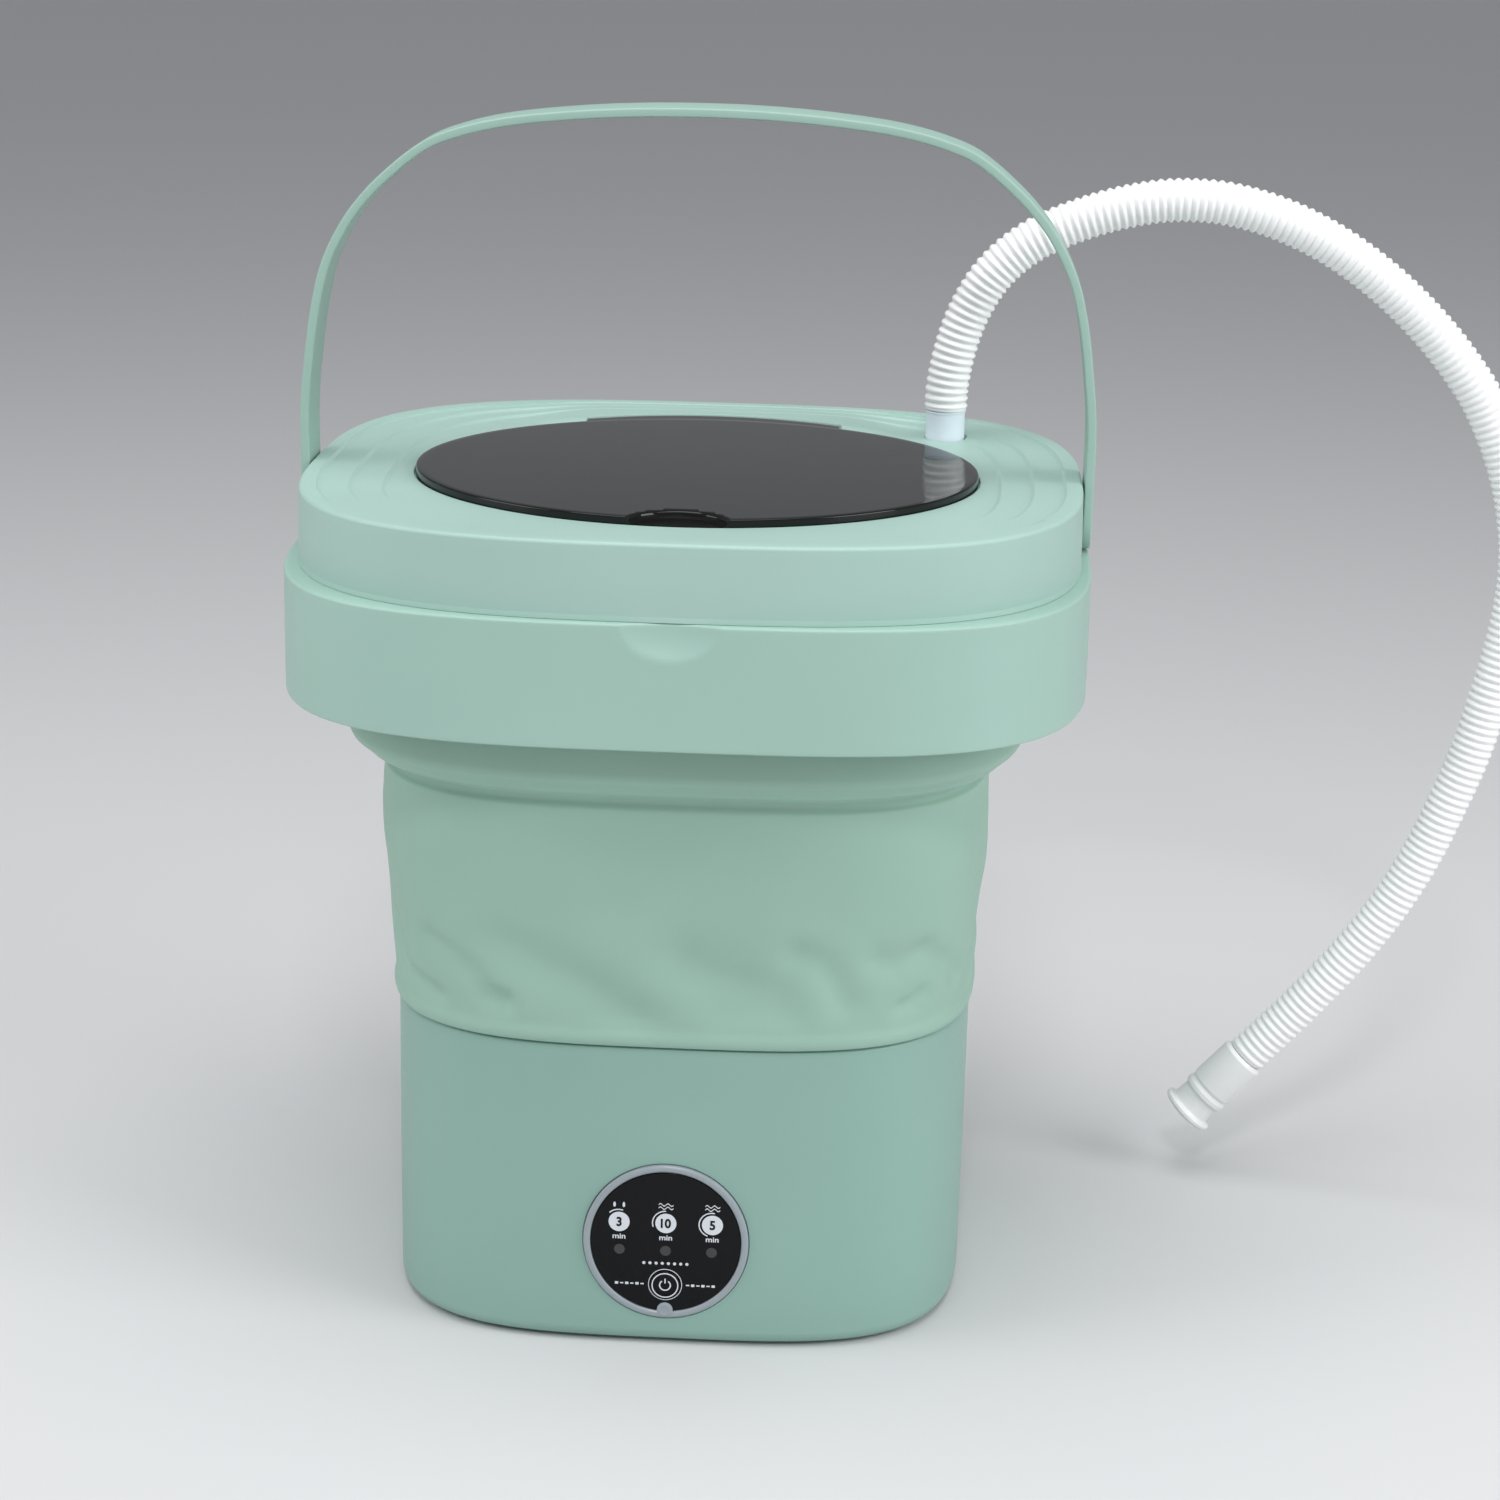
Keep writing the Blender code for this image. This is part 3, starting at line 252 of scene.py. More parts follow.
def turned(name, prof, segs=96, at=(0, 0, 0), rotation=None, sharp=35, closed=False, cap=True):
    """(radius, height) profile round Z, then placed."""
    a = np.linspace(0, 2 * math.pi, segs, endpoint=False)
    rings = np.array([np.stack([r * np.cos(a), r * np.sin(a), np.full_like(a, z)], axis=1) for r, z in prof])
    v, f = grid(rings, closed_v=closed, cap_start=cap and not closed, cap_end=cap and not closed)
    ob = new_object(name, v, f, sharp=sharp)
    m = Matrix.Translation(Vector(at)) @ (rotation.to_4x4() if rotation is not None else Matrix.Identity(4))
    ob.data.transform(m)
    return ob


FACE_FRONT = Matrix.Rotation(math.pi / 2, 3, "X")     # local +Z looks towards -Y


# ------------------------------------------------------------------ materials
def plastic(name, colour, rough=0.42, bump=0.04, scale=900.0, vary=0.03, spec=0.45, coat=0.0, sheen=0.0,
            subsurface=0.0, edge=0.0):
    """Moulded plastic: fine texture in the gloss and bump, and a slight drift of colour over the surface."""
    m = bpy.data.materials.new(name)
    m.use_nodes = True
    nt = m.node_tree
    b = nt.nodes["Principled BSDF"]
    b.inputs["Metallic"].default_value = 0.0
    b.inputs["Specular IOR Level"].default_value = spec
    if coat:
        b.inputs["Coat Weight"].default_value = coat
        b.inputs["Coat Roughness"].default_value = 0.12
    tc = nt.nodes.new("ShaderNodeTexCoord")
    n1 = nt.nodes.new("ShaderNodeTexNoise")
    n1.inputs["Scale"].default_value = 9.0
    n1.inputs["Detail"].default_value = 3.0
    nt.links.new(tc.outputs["Object"], n1.inputs["Vector"])
    ramp = nt.nodes.new("ShaderNodeValToRGB")
    c = np.array(colour)
    ramp.color_ramp.elements[0].position = 0.3
    ramp.color_ramp.elements[1].position = 0.7
    ramp.color_ramp.elements[0].color = (*np.clip(c * (1 - vary), 0, 1), 1)
    ramp.color_ramp.elements[1].color = (*np.clip(c * (1 + vary), 0, 1), 1)
    nt.links.new(n1.outputs["Fac"], ramp.inputs["Fac"])
    nt.links.new(ramp.outputs["Color"], b.inputs["Base Color"])
    n2 = nt.nodes.new("ShaderNodeTexNoise")
    n2.inputs["Scale"].default_value = scale
    n2.inputs["Detail"].default_value = 2.0
    nt.links.new(tc.outputs["Object"], n2.inputs["Vector"])
    rr = nt.nodes.new("ShaderNodeMapRange")
    rr.inputs["From Min"].default_value = 0.3
    rr.inputs["From Max"].default_value = 0.7
    rr.inputs["To Min"].default_value = rough - 0.05
    rr.inputs["To Max"].default_value = rough + 0.05
    nt.links.new(n2.outputs["Fac"], rr.inputs["Value"])
    nt.links.new(rr.outputs["Result"], b.inputs["Roughness"])
    if bump:
        bp = nt.nodes.new("ShaderNodeBump")
        bp.inputs["Strength"].default_value = bump
        bp.inputs["Distance"].default_value = 0.0004
        nt.links.new(n2.outputs["Fac"], bp.inputs["Height"])
        nt.links.new(bp.outputs["Normal"], b.inputs["Normal"])
    if subsurface:
        b.inputs["Subsurface Weight"].default_value = subsurface
        b.inputs["Subsurface Radius"].default_value = (0.02, 0.02, 0.02)
        b.inputs["Subsurface Scale"].default_value = 0.1
    return m


def metal(name, colour, rough=0.3, scale=400.0, streak=1.0):
    m = bpy.data.materials.new(name)
    m.use_nodes = True
    nt = m.node_tree
    b = nt.nodes["Principled BSDF"]
    b.inputs["Metallic"].default_value = 1.0
    tc = nt.nodes.new("ShaderNodeTexCoord")
    mp = nt.nodes.new("ShaderNodeMapping")
    mp.inputs["Scale"].default_value = (1.0, 1.0, streak)
    n = nt.nodes.new("ShaderNodeTexNoise")
    n.inputs["Scale"].default_value = scale
    n.inputs["Detail"].default_value = 4.0
    nt.links.new(tc.outputs["Object"], mp.inputs["Vector"])
    nt.links.new(mp.outputs["Vector"], n.inputs["Vector"])
    ramp = nt.nodes.new("ShaderNodeValToRGB")
    c = np.array(colour)
    ramp.color_ramp.elements[0].color = (*(c * 0.88), 1)
    ramp.color_ramp.elements[1].color = (*np.clip(c * 1.08, 0, 1), 1)
    nt.links.new(n.outputs["Fac"], ramp.inputs["Fac"])
    nt.links.new(ramp.outputs["Color"], b.inputs["Base Color"])
    rr = nt.nodes.new("ShaderNodeMapRange")
    rr.inputs["To Min"].default_value = rough - 0.08
    rr.inputs["To Max"].default_value = rough + 0.10
    nt.links.new(n.outputs["Fac"], rr.inputs["Value"])
    nt.links.new(rr.outputs["Result"], b.inputs["Roughness"])
    return m


def srgb(r, g, b):
    def f(c):
        c /= 255.0
        return c / 12.92 if c <= 0.04045 else ((c + 0.055) / 1.055) ** 2.4
    return (f(r), f(g), f(b))


MINT = srgb(162, 195, 183)
MINT_HANDLE = srgb(156, 187, 175)
MINT_LID = srgb(167, 198, 188)
MINT_BASE = srgb(142, 178, 167)
MINT_SOFT = srgb(156, 191, 175)
mats = {
    "collar": plastic("mint_collar", MINT, 0.40, 0.05),
    "lid": plastic("mint_lid", MINT_LID, 0.47, 0.05),
    "base": plastic("mint_base", MINT_BASE, 0.42, 0.05),
    "handle": plastic("mint_handle", MINT_HANDLE, 0.50, 0.05),
    "soft": plastic("soft_tub_rubber", MINT_SOFT, 0.50, 0.10, scale=600.0, vary=0.04, spec=0.35),
    "gloss_black": plastic("gloss_black", (0.005, 0.005, 0.005), 0.07, 0.0, scale=40.0, vary=0.1, spec=0.33),
    # scoop: painted shade, a near-black sheet with almost no gloss, laid in the finger scoop
    "scoop": plastic("scoop_painted_shade_black", (0.006, 0.006, 0.006), 0.45, 0.03, scale=300.0, vary=0.1, spec=0.08),
    "lens": plastic("lens_black", (0.004, 0.004, 0.005), 0.14, 0.0, scale=60.0, vary=0.1, spec=0.18),
    "hose": plastic("hose_white", (0.93, 0.93, 0.93), 0.38, 0.03, scale=500.0, vary=0.02, spec=0.45, subsurface=0.0),
    "fitting": plastic("fitting_white", (0.82, 0.82, 0.82), 0.42, 0.03, scale=500.0, vary=0.02),
    "cuff": plastic("cuff_bluish", srgb(226, 237, 246), 0.35, 0.02, scale=300.0, vary=0.02),
    "pale": plastic("pale_plastic", srgb(216, 228, 222), 0.40, 0.04),
    "black": plastic("black_plastic", (0.02, 0.02, 0.02), 0.5, 0.06),
    "rubber": plastic("black_rubber", (0.025, 0.025, 0.025), 0.85, 0.2, scale=700.0),
    "print": plastic("white_print", (0.72, 0.75, 0.80), 0.45, 0.0, scale=200.0, vary=0.02),
    "led": plastic("lamp_window", (0.045, 0.045, 0.048), 0.35, 0.0, scale=200.0, vary=0.1),
    "ring": plastic("grey_ring", srgb(152, 162, 168), 0.32, 0.02, scale=300.0, vary=0.03, spec=0.6),
    "steel": metal("steel", (0.55, 0.55, 0.56), 0.32, 300.0, 8.0),
    "bronze": metal("bronze", (0.62, 0.45, 0.24), 0.35, 300.0, 6.0),
    "board": plastic("board_green", (0.015, 0.13, 0.045), 0.45, 0.1, scale=300.0, vary=0.25),
    "clear": plastic("lamp_clear", (0.7, 0.74, 0.78), 0.15, 0.0, scale=100.0),
    "cable_black": plastic("cable_black", (0.02, 0.02, 0.02), 0.55, 0.1),
    "cable_red": plastic("cable_red", (0.35, 0.02, 0.02), 0.55, 0.1),
}


def give(ob, key):
    ob.data.materials.clear()
    ob.data.materials.append(mats[key])
    return ob


def done(ob, key, body, *nodes, slot=None):
    give(ob, key)
    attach(ob, body)
    if nodes:
        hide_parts(*nodes)
    return ob


# ------------------------------------------------------------------ base housing
A = uniform(256, (math.radians(-110), math.radians(-70), 120))
A = np.mod(A, 2 * math.pi)
A.sort()
prof = []                # z, half width, half depth, exponent: outside going up, then down inside
prof += [(0.0010, 0.1030, 0.09476, 3.6), (0.0010, 0.1084, 0.1010, 3.6)]
for t in np.linspace(0, 90, 11):
    o = 0.0060 * (1 - math.sin(math.radians(t)))
    prof.append((0.0070 - 0.0060 * math.cos(math.radians(t)), 0.1146 - o, 0.1074 - o, 3.6))
prof += [(0.0200, 0.11472, 0.1072, 3.57), (0.0400, 0.1149, 0.10685, 3.51), (0.0600, 0.1151, 0.1065, 3.45),
         (0.0800, 0.11517, 0.10637, 3.40), (0.1000, 0.11525, 0.10623, 3.35), (0.1180, 0.1153, 0.10608, 3.30), (0.1222, 0.1153, 0.10608, 3.30),
         (0.1232, 0.1151, 0.1059, 3.30), (0.1238, 0.1147, 0.1055, 3.30), (0.1240, 0.1140, 0.1049, 3.30),
         (0.1240, 0.1035, 0.0952, 3.30), (0.1215, 0.1035, 0.0952, 3.30), (0.1215, 0.1123, 0.1033, 3.30), (0.0600, 0.1121, 0.1035, 3.45),
         (0.0090, 0.1116, 0.1044, 3.6), (0.0058, 0.1104, 0.1032, 3.6), (0.0040, 0.1076, 0.1004, 3.6), (0.0040, 0.1030, 0.09476, 3.6)]
rings = []
for z, w, d, n in prof:
    rings.append(ring_xyz(A, w, d, n, z))
v, f = grid(np.array(rings), closed_v=True)
base_shell = new_object("base_shell", v, f, sharp=40)


def cut(ob, cutter):
    m = ob.modifiers.new("cut", "BOOLEAN")
    m.operation = "DIFFERENCE"
    m.solver = "EXACT"
    m.object = cutter
    bpy.context.view_layer.update()
    dg = bpy.context.evaluated_depsgraph_get()
    me = bpy.data.meshes.new_from_object(ob.evaluated_get(dg))
    ob.modifiers.clear()
    old = ob.data
    ob.data = me
    bpy.data.meshes.remove(old)
    bpy.data.objects.remove(cutter, do_unlink=True)
    me.polygons.foreach_set("use_smooth", [True] * len(me.polygons))
    me.set_sharp_from_angle(angle=math.radians(38))
    return ob


cut(base_shell, turned("c1", [(BEZEL_R + 0.0004, -0.0028), (BEZEL_R + 0.0004, 0.004), (BEZEL_R + 0.0016, 0.006), (BEZEL_R + 0.0016, 0.02)],
                       128, (0, PANEL_Y, PANEL_Z), FACE_FRONT))
cut(base_shell, turned("c2", [(0.0265, -0.012), (0.0265, 0.01)], 96, (0, PANEL_Y, PANEL_Z), FACE_FRONT))
cut(base_shell, turned("c3", [(0.0064, -0.02), (0.0064, 0.02)], 48, (0.048, 0.103, 0.030), FACE_FRONT))
cut(base_shell, turned("c14", [(0.0088, -0.01), (0.0088, 0.0)], 64, (0.048, 0.1048, 0.030), FACE_FRONT))
done(base_shell, "base", "base", "base_housing", slot="base_plastic")

# ------------------------------------------------------------------ soft folding tub
TUB = [(0.1246, 0.1152), (0.1250, 0.1162), (0.1262, 0.1170), (0.1285, 0.1173), (0.1296, 0.1172), (0.1308, 0.1164), (0.1340, 0.1164),
       (0.1380, 0.1167), (0.1450, 0.1172), (0.1550, 0.1177), (0.1650, 0.1183), (0.1760, 0.1194), (0.1890, 0.1203),
       (0.2020, 0.1204), (0.2140, 0.1198), (0.2190, 0.1198), (0.2206, 0.1198), (0.2211, 0.1193), (0.2216, 0.1185), (0.2228, 0.1181), (0.2244, 0.1186),
       (0.2256, 0.1204), (0.2268, 0.1234), (0.2280, 0.1259), (0.2290, 0.1271), (0.2305, 0.1282), (0.2322, 0.1302), (0.2342, 0.1324), (0.2368, 0.1334), (0.2520, 0.1335), (0.2940, 0.1335)]
tz = np.array([p[0] for p in TUB])
tw = np.array([p[1] for p in TUB])


def tub_width(z):
    """Half width of the soft tub at height z, as a smooth curve."""
    zs = np.concatenate([np.arange(0.1246, 0.2540, 0.0004), [0.294]])
    w = np.interp(zs, tz, tw)
    k = np.ones(5) / 5
    ws = np.convolve(np.pad(w, 2, mode="edge"), k, mode="valid")
    fine = np.convolve(np.pad(w, 1, mode="edge"), np.ones(3) / 3, mode="valid")
    ws = np.where(zs > 0.2180, fine, ws)
    ws[:4] = w[:4]
    return np.interp(z, zs, ws)


# dents: chains of (distance along the girth from the front centre, height), half width across, depth
DENTS = [
    ([(-0.1097, 0.1400), (-0.1008, 0.1388), (-0.0935, 0.1370)], 0.0036, 0.0021),
    ([(-0.0957, 0.1600), (-0.0863, 0.1565), (-0.0762, 0.1500), (-0.0687, 0.1420), (-0.0640, 0.1398)], 0.0040, 0.0022),
    ([(-0.0690, 0.1412), (-0.0640, 0.1400)], 0.0036, 0.0012),
    ([(-0.0625, 0.1625), (-0.0507, 0.1565), (-0.0411, 0.1530), (-0.0297, 0.1470), (-0.0213, 0.1410), (-0.0120, 0.1362)], 0.0078, 0.0023),
    ([(0.0050, 0.1590), (0.0150, 0.1550), (0.0280, 0.1505), (0.0400, 0.1492)], 0.0080, 0.0022),
    ([(0.0480, 0.1640), (0.0565, 0.1602), (0.0625, 0.1530), (0.0662, 0.1452)], 0.0056, 0.0022),
    ([(0.0790, 0.1602), (0.0869, 0.1580), (0.0925, 0.1590)], 0.0052, 0.0021),
    ([(0.0905, 0.1400), (0.0958, 0.1412), (0.0990, 0.1440)], 0.0034, 0.0019),
    ([(0.1000, 0.1620), (0.1060, 0.1560), (0.1125, 0.1535), (0.1215, 0.1450)], 0.0042, 0.0020),
    ([(-0.1290, 0.1590), (-0.1225, 0.1520), (-0.1180, 0.1455)], 0.0048, 0.0017),
    ([(-0.0520, 0.1790), (-0.0380, 0.1750), (-0.0230, 0.1780)], 0.0090, 0.0008),
    ([(0.0200, 0.1400), (0.0330, 0.1410), (0.0470, 0.1392)], 0.0050, 0.0009),
]
_rng = np.random.RandomState(11)
for _k in range(17):          # the same kind of soft creases go on round the sides and the back
    _s = 0.150 + 0.0270 * _k + _rng.uniform(-0.006, 0.006)
    _t = 1 if _rng.rand() > 0.4 else -1
    _z = 0.1500 + _rng.uniform(-0.004, 0.006)
    _h = _rng.uniform(0.007, 0.012)
    DENTS.append(([(_s - 0.010 * _t, _z + _h), (_s, _z), (_s + 0.008 * _t, _z - _h)],
                  _rng.uniform(0.0045, 0.0068), _rng.uniform(0.0013, 0.0021)))

A = uniform(420)
A = np.mod(A, 2 * math.pi)
A.sort()
bx, by = outline(A, W_TUB, W_TUB * 0.92, N_TUB)
girth = np.concatenate([[0], np.cumsum(np.hypot(np.diff(bx), np.diff(by)))])
total = girth[-1] + math.hypot(bx[0] - bx[-1], by[0] - by[-1])
front = np.interp(1.5 * math.pi, A, girth)
g = (girth - front + total / 2) % total - total / 2      # signed distance from the front centre
zs_out = np.concatenate([[0.1246, 0.1248, 0.1251, 0.1256, 0.1263, 0.1272], np.arange(0.1284, 0.2180, 0.0013), np.arange(0.2184, 0.2350, 0.0005), np.arange(0.2355, 0.2540, 0.0013), [0.262, 0.278, 0.2935]])


def dent_field(G, Z):
    out = np.zeros_like(G)
    for chain, half, depth in DENTS:
        best = np.full(G.shape, 1e9)
        for (s0, z0), (s1, z1) in zip(chain[:-1], chain[1:]):
            ds, dz = s1 - s0, z1 - z0
            q = (G - s0 + total / 2) % total - total / 2
            t = np.clip((q * ds + (Z - z0) * dz) / (ds * ds + dz * dz), 0, 1)
            best = np.minimum(best, np.hypot(q - ds * t, Z - z0 - dz * t))
        out -= depth * np.exp(-(best / half) ** 2 * 0.75)
        out += depth * 0.10 * np.exp(-((best - half * 2.3) / half) ** 2 * 0.9)
    return out


G, Z = np.meshgrid(g, zs_out)
D = dent_field(G, Z)
D += 0.0006 * np.sin(G * 2 * math.pi / total * 7 + 0.8) * np.exp(-((Z - 0.205) / 0.022) ** 2)
D += 0.0005 * np.sin(G * 2 * math.pi / total * 11 + Z * 60) * np.exp(-((Z - 0.172) / 0.018) ** 2)
fade = np.clip((Z - 0.1262) / 0.010, 0, 1) * np.clip((0.2180 - Z) / 0.012, 0, 1)
D *= fade
D = np.minimum(D, 0.0016)
D += 0.0022 * np.exp(-((G + 0.178) / 0.040) ** 2) * np.exp(-((Z - 0.200) / 0.017) ** 2) * np.clip((0.2195 - Z) / 0.006, 0, 1)      # the left flank bellies out
rings = []
for i, z in enumerate(zs_out):
    w = float(tub_width(z))
    base_ring = ring_xyz(A, w, w * 0.92, N_TUB, z)
    nrm = base_ring[:, :2] / np.linalg.norm(base_ring[:, :2], axis=1)[:, None]
    base_ring[:, :2] += nrm * D[i][:, None]
    rings.append(base_ring)
for z, t in [(0.2935, 0.0019), (0.262, 0.0019), (0.250, 0.0019), (0.243, 0.0019), (0.2372, 0.0019), (0.234, 0.0022), (0.230, 0.0024), (0.2255, 0.0024),
             (0.219, 0.0024), (0.205, 0.0024), (0.190, 0.0024), (0.176, 0.0024), (0.165, 0.0024), (0.155, 0.0026), (0.145, 0.0030),
             (0.138, 0.0030), (0.1345, 0.0028), (0.1246, 0.0022)]:
    w = float(tub_width(z)) - t
    w = max(w, 0.11295) if z < 0.14 else w
    ring = ring_xyz(A, w, w * 0.92, N_TUB, z)
    Di = np.interp(z, zs_out, np.arange(len(zs_out)))
    k0 = int(Di)
    k1 = min(k0 + 1, len(zs_out) - 1)
    disp = np.minimum(0.8 * (D[k0] * (1 - Di + k0) + D[k1] * (Di - k0)), 0.0)
    if z < 0.142:
        disp = disp * 0
    nrm = ring[:, :2] / np.linalg.norm(ring[:, :2], axis=1)[:, None]
    ring[:, :2] += nrm * disp[:, None]
    rings.append(ring)
v, f = grid(np.array(rings), closed_v=True)
tub = new_object("soft_tub", v, f, sharp=60)
give(tub, "soft")
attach(tub, "base")
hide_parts("bellows_tub")
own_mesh(tub)

# ------------------------------------------------------------------ collar
A = uniform(300, (math.radians(-101), math.radians(-79), 90))
A = np.mod(A, 2 * math.pi)
A.sort()
pts = fillet([(0.0, 0.2533, 0.0007), (0.0, 0.2760, 0), (-0.0002, 0.3003, 0.0011), (-0.0214, 0.3003, 0.0006),
              (-0.0214, 0.2830, 0.0004), (-0.0192, 0.2830, 0.0004), (-0.0192, 0.2975, 0.0015), (-0.0036, 0.2975, 0.0015),
              (-0.0026, 0.2760, 0), (-0.0026, 0.2533, 0.0006)], closed=True, steps=6)
pts = dense(pts, 0.0016, closed=True)
rings = []
for o, z in pts:
    n = N_COLLAR if o > -0.012 else N_COLLAR + (N_TUB - N_COLLAR) * min(1.0, (-0.012 - o) / 0.007)
    rings.append(ring_xyz(A, W_COLLAR + o, D_COLLAR + o * (1.0 if o > -0.012 else 0.94), n, z))
rings = np.array(rings)
# shallow dish in the front wall, under the ledge
X, Y, Zc = rings[..., 0], rings[..., 1], rings[..., 2]
q = np.clip(1 - ((X - 0.0012) / 0.0180) ** 2 - ((Zc - 0.3000) / 0.0130) ** 2, 0, 1)
skin = (Y < -0.1385) & (Zc > 0.280)
Y[skin] += (0.0031 * q)[skin]
v, f = grid(rings, closed_v=True)
collar = new_object("collar_shell", v, f, sharp=50)
done(collar, "collar", "upper", "collar", slot="collar_plastic")

# ------------------------------------------------------------------ lid frame with three stepped crescents
A = uniform(420)
A = np.mod(A, 2 * math.pi)
A.sort()
wall = fillet([(-0.0024, 0.3004, 0), (0.0009, 0.3004, 0.0001), (0.0005, 0.3024, 0.0018), (0.0005, 0.3120, 0), (0.0001, 0.3290, 0.0015), (-0.0062, 0.3290, 0)], steps=8)
wall = dense(wall, 0.003)
rings = [ring_xyz(A, W_LID + o, D_LID + o, N_LID, z) for o, z in wall]
ox, oy = outline(A, W_LID - 0.0062, D_LID - 0.0062, N_LID)
ix, iy = outline(A, FLAP_A + 0.0011, FLAP_B + 0.0011, 2.0)
iy = iy + FLAP_Y
theta = (np.degrees(A) + 360) % 360                     # 270 is the front
from_front = np.abs((theta - 270 + 180) % 360 - 180)
amp = np.clip((from_front - 53) / 15, 0, 1)
amp = amp * amp * (3 - 2 * amp)
near_hose = np.exp(-(((theta - 41 + 180) % 360 - 180) / 8.0) ** 2)
amp = amp * (1 - 0.85 * near_hose)
BANDS = [(0.1445, 0.1335), (0.1320, 0.1280), (0.1193, 0.1220)]      # half width and half depth of the three terrace edges


def ease(t):
    t = np.clip(t, 0, 1)
    return t * t * (3 - 2 * t)


TOP0, TOP1 = 0.3290, 0.3260
for s in np.concatenate([np.linspace(0.0, 0.96, 161)[1:], [0.975, 0.985]]):
    x = ox + (ix - ox) * s
    y = oy + (iy - oy) * s
    far = np.hypot(x, y)
    steps = np.zeros_like(x)
    for bw, bd in BANDS:
        b = ((np.abs(x) / bw) ** 3 + (np.abs(y) / bd) ** 3) ** (1 / 3)
        steps += ease(0.5 - (b - 1) * far / 0.0015) / 3
    z_ring = TOP0 - (s * (1 - amp) + steps * amp) * (TOP0 - TOP1)
    behind = ease((y - 0.088) / 0.010) * ease((0.086 - np.abs(x)) / 0.034)
    z_ring = z_ring * (1 - behind) + (TOP0 - 0.0002 - 0.0006 * steps) * behind
    rings.append(np.stack([x, y, z_ring], axis=1))
lip = [(0.0011, 0.3260), (0.0008, 0.3259), (0.0006, 0.3256), (0.0005, 0.3251), (0.0005, 0.3242), (-0.0095, 0.3242), (-0.0099, 0.3240), (-0.0099, 0.3216), (-0.0095, 0.3214), (0.0025, 0.3214)]
for o, z in lip:
    rings.append(ring_xyz(A, FLAP_A + o, FLAP_B + o, 2.0, z, 0, FLAP_Y))
under = [(0.1260, 0.1160, 2.4, 0.3242), (0.1420, 0.1300, 2.8, 0.3254), (0.1470, 0.1348, 3.0, 0.3252), (0.1487, 0.1365, 3.0, 0.3230), (0.1488, 0.1366, 3.0, 0.3010)]
for w, d, n, z in under:
    rings.append(ring_xyz(A, w, d, n, z))
v, f = grid(np.array(rings), closed_v=True)
lid = new_object("lid_shell", v, f, sharp=45)


def block(name, lo, hi, bevel=0.0):
    bm = bmesh.new()
    bmesh.ops.create_cube(bm, size=1.0)
    for vv in bm.verts:
        vv.co = Vector([lo[k] if vv.co[k] < 0 else hi[k] for k in range(3)])
    if bevel:
        bmesh.ops.bevel(bm, geom=list(bm.edges), offset=bevel, segments=3, affect="EDGES", profile=0.5)
    me = bpy.data.meshes.new(name)
    bm.to_mesh(me)
    bm.free()
    ob = bpy.data.objects.new(name, me)
    bpy.context.scene.collection.objects.link(ob)
    return ob




def notch_prism(name, levels):
    """Cutter for the notch behind the flap: straight sides and a rounded back. levels are (height, grow)."""
    rings = []
    for z, o in levels:
        hx, r = HINGE_HALF + 0.0009 + o, ARC_NOTCH + o
        a0 = math.acos(hx / r)
        pts = [(-hx, 0.084), (hx, 0.084)] + [(r * math.cos(a), ARC_Y + r * math.sin(a)) for a in np.linspace(a0, math.pi - a0, 90)]
        rings.append([(x, y, z) for x, y in pts])
    v, f = grid(np.array(rings), cap_start=True, cap_end=True)
    return new_object(name, v, f, smooth=False)


cut(lid, notch_prism("c4", [(0.316, 0.0), (0.3276, 0.0), (0.32795, 0.0001), (0.3283, 0.0004), (0.3286, 0.0009), (0.334, 0.0060)]))
cut(lid, turned("c5", [(0.0089, -0.02), (0.0089, 0.0083), (0.0091, 0.0089), (0.0098, 0.0094), (0.0098, 0.02)], 64, (HOSE[0] + 0.0004, HOSE[1], 0.319)))
for sgn in (-1, 1):
    cut(lid, turned("c6", [(0.0034, -0.01), (0.0034, 0.01)], 48, (sgn * 0.150, 0, PIVOT_Z), Matrix.Rotation(math.pi / 2, 3, "Y")))
done(lid, "lid", "upper", "lid_frame", slot="lid_plastic")
for sgn, nm in ((-1, "left"), (1, "right")):
    ear = block("hinge_ear_" + nm, (sgn * 0.0579 - 0.0034, Y_HINGE - 0.0046, 0.3190), (sgn * 0.0579 + 0.0034, Y_HINGE + 0.0046, 0.3216), 0.0005)
    ear.data.polygons.foreach_set("use_smooth", [True] * len(ear.data.polygons))
    done(ear, "lid", "upper", slot="lid_plastic")

# ------------------------------------------------------------------ flip lid
A = uniform(360, (math.radians(-106), math.radians(-74), 160))
A = np.mod(A, 2 * math.pi)
A.sort()
fr = fillet([(-0.0040, 0.3246, 0), (-0.0008, 0.3246, 0.0004), (0.0, 0.3252, 0.0004), (0.0, 0.3289, 0.0007), (-0.0030, 0.3289, 0)], steps=5)
rings = [ring_xyz(A, (FLAP_A + o) * 1.0, FLAP_B + o, 2.0, z, 0, FLAP_Y) for o, z in [(-0.10, 0.3246), (-0.05, 0.3246), (-0.02, 0.3246)] + fr]
for t in [0.006, 0.010, 0.014, 0.018, 0.022, 0.026, 0.032, 0.040, 0.055, 0.075, 0.0965]:
    rings.append(ring_xyz(A, FLAP_A - t * (1.0 if t < 0.09 else 1.12), FLAP_B - t, 2.0, 0.3289, 0, FLAP_Y))
rings = np.array(rings)
v, f = grid(rings, cap_start=True, cap_end=True)
flap = new_object("flip_lid_plate", v, f, sharp=35)
cols = []
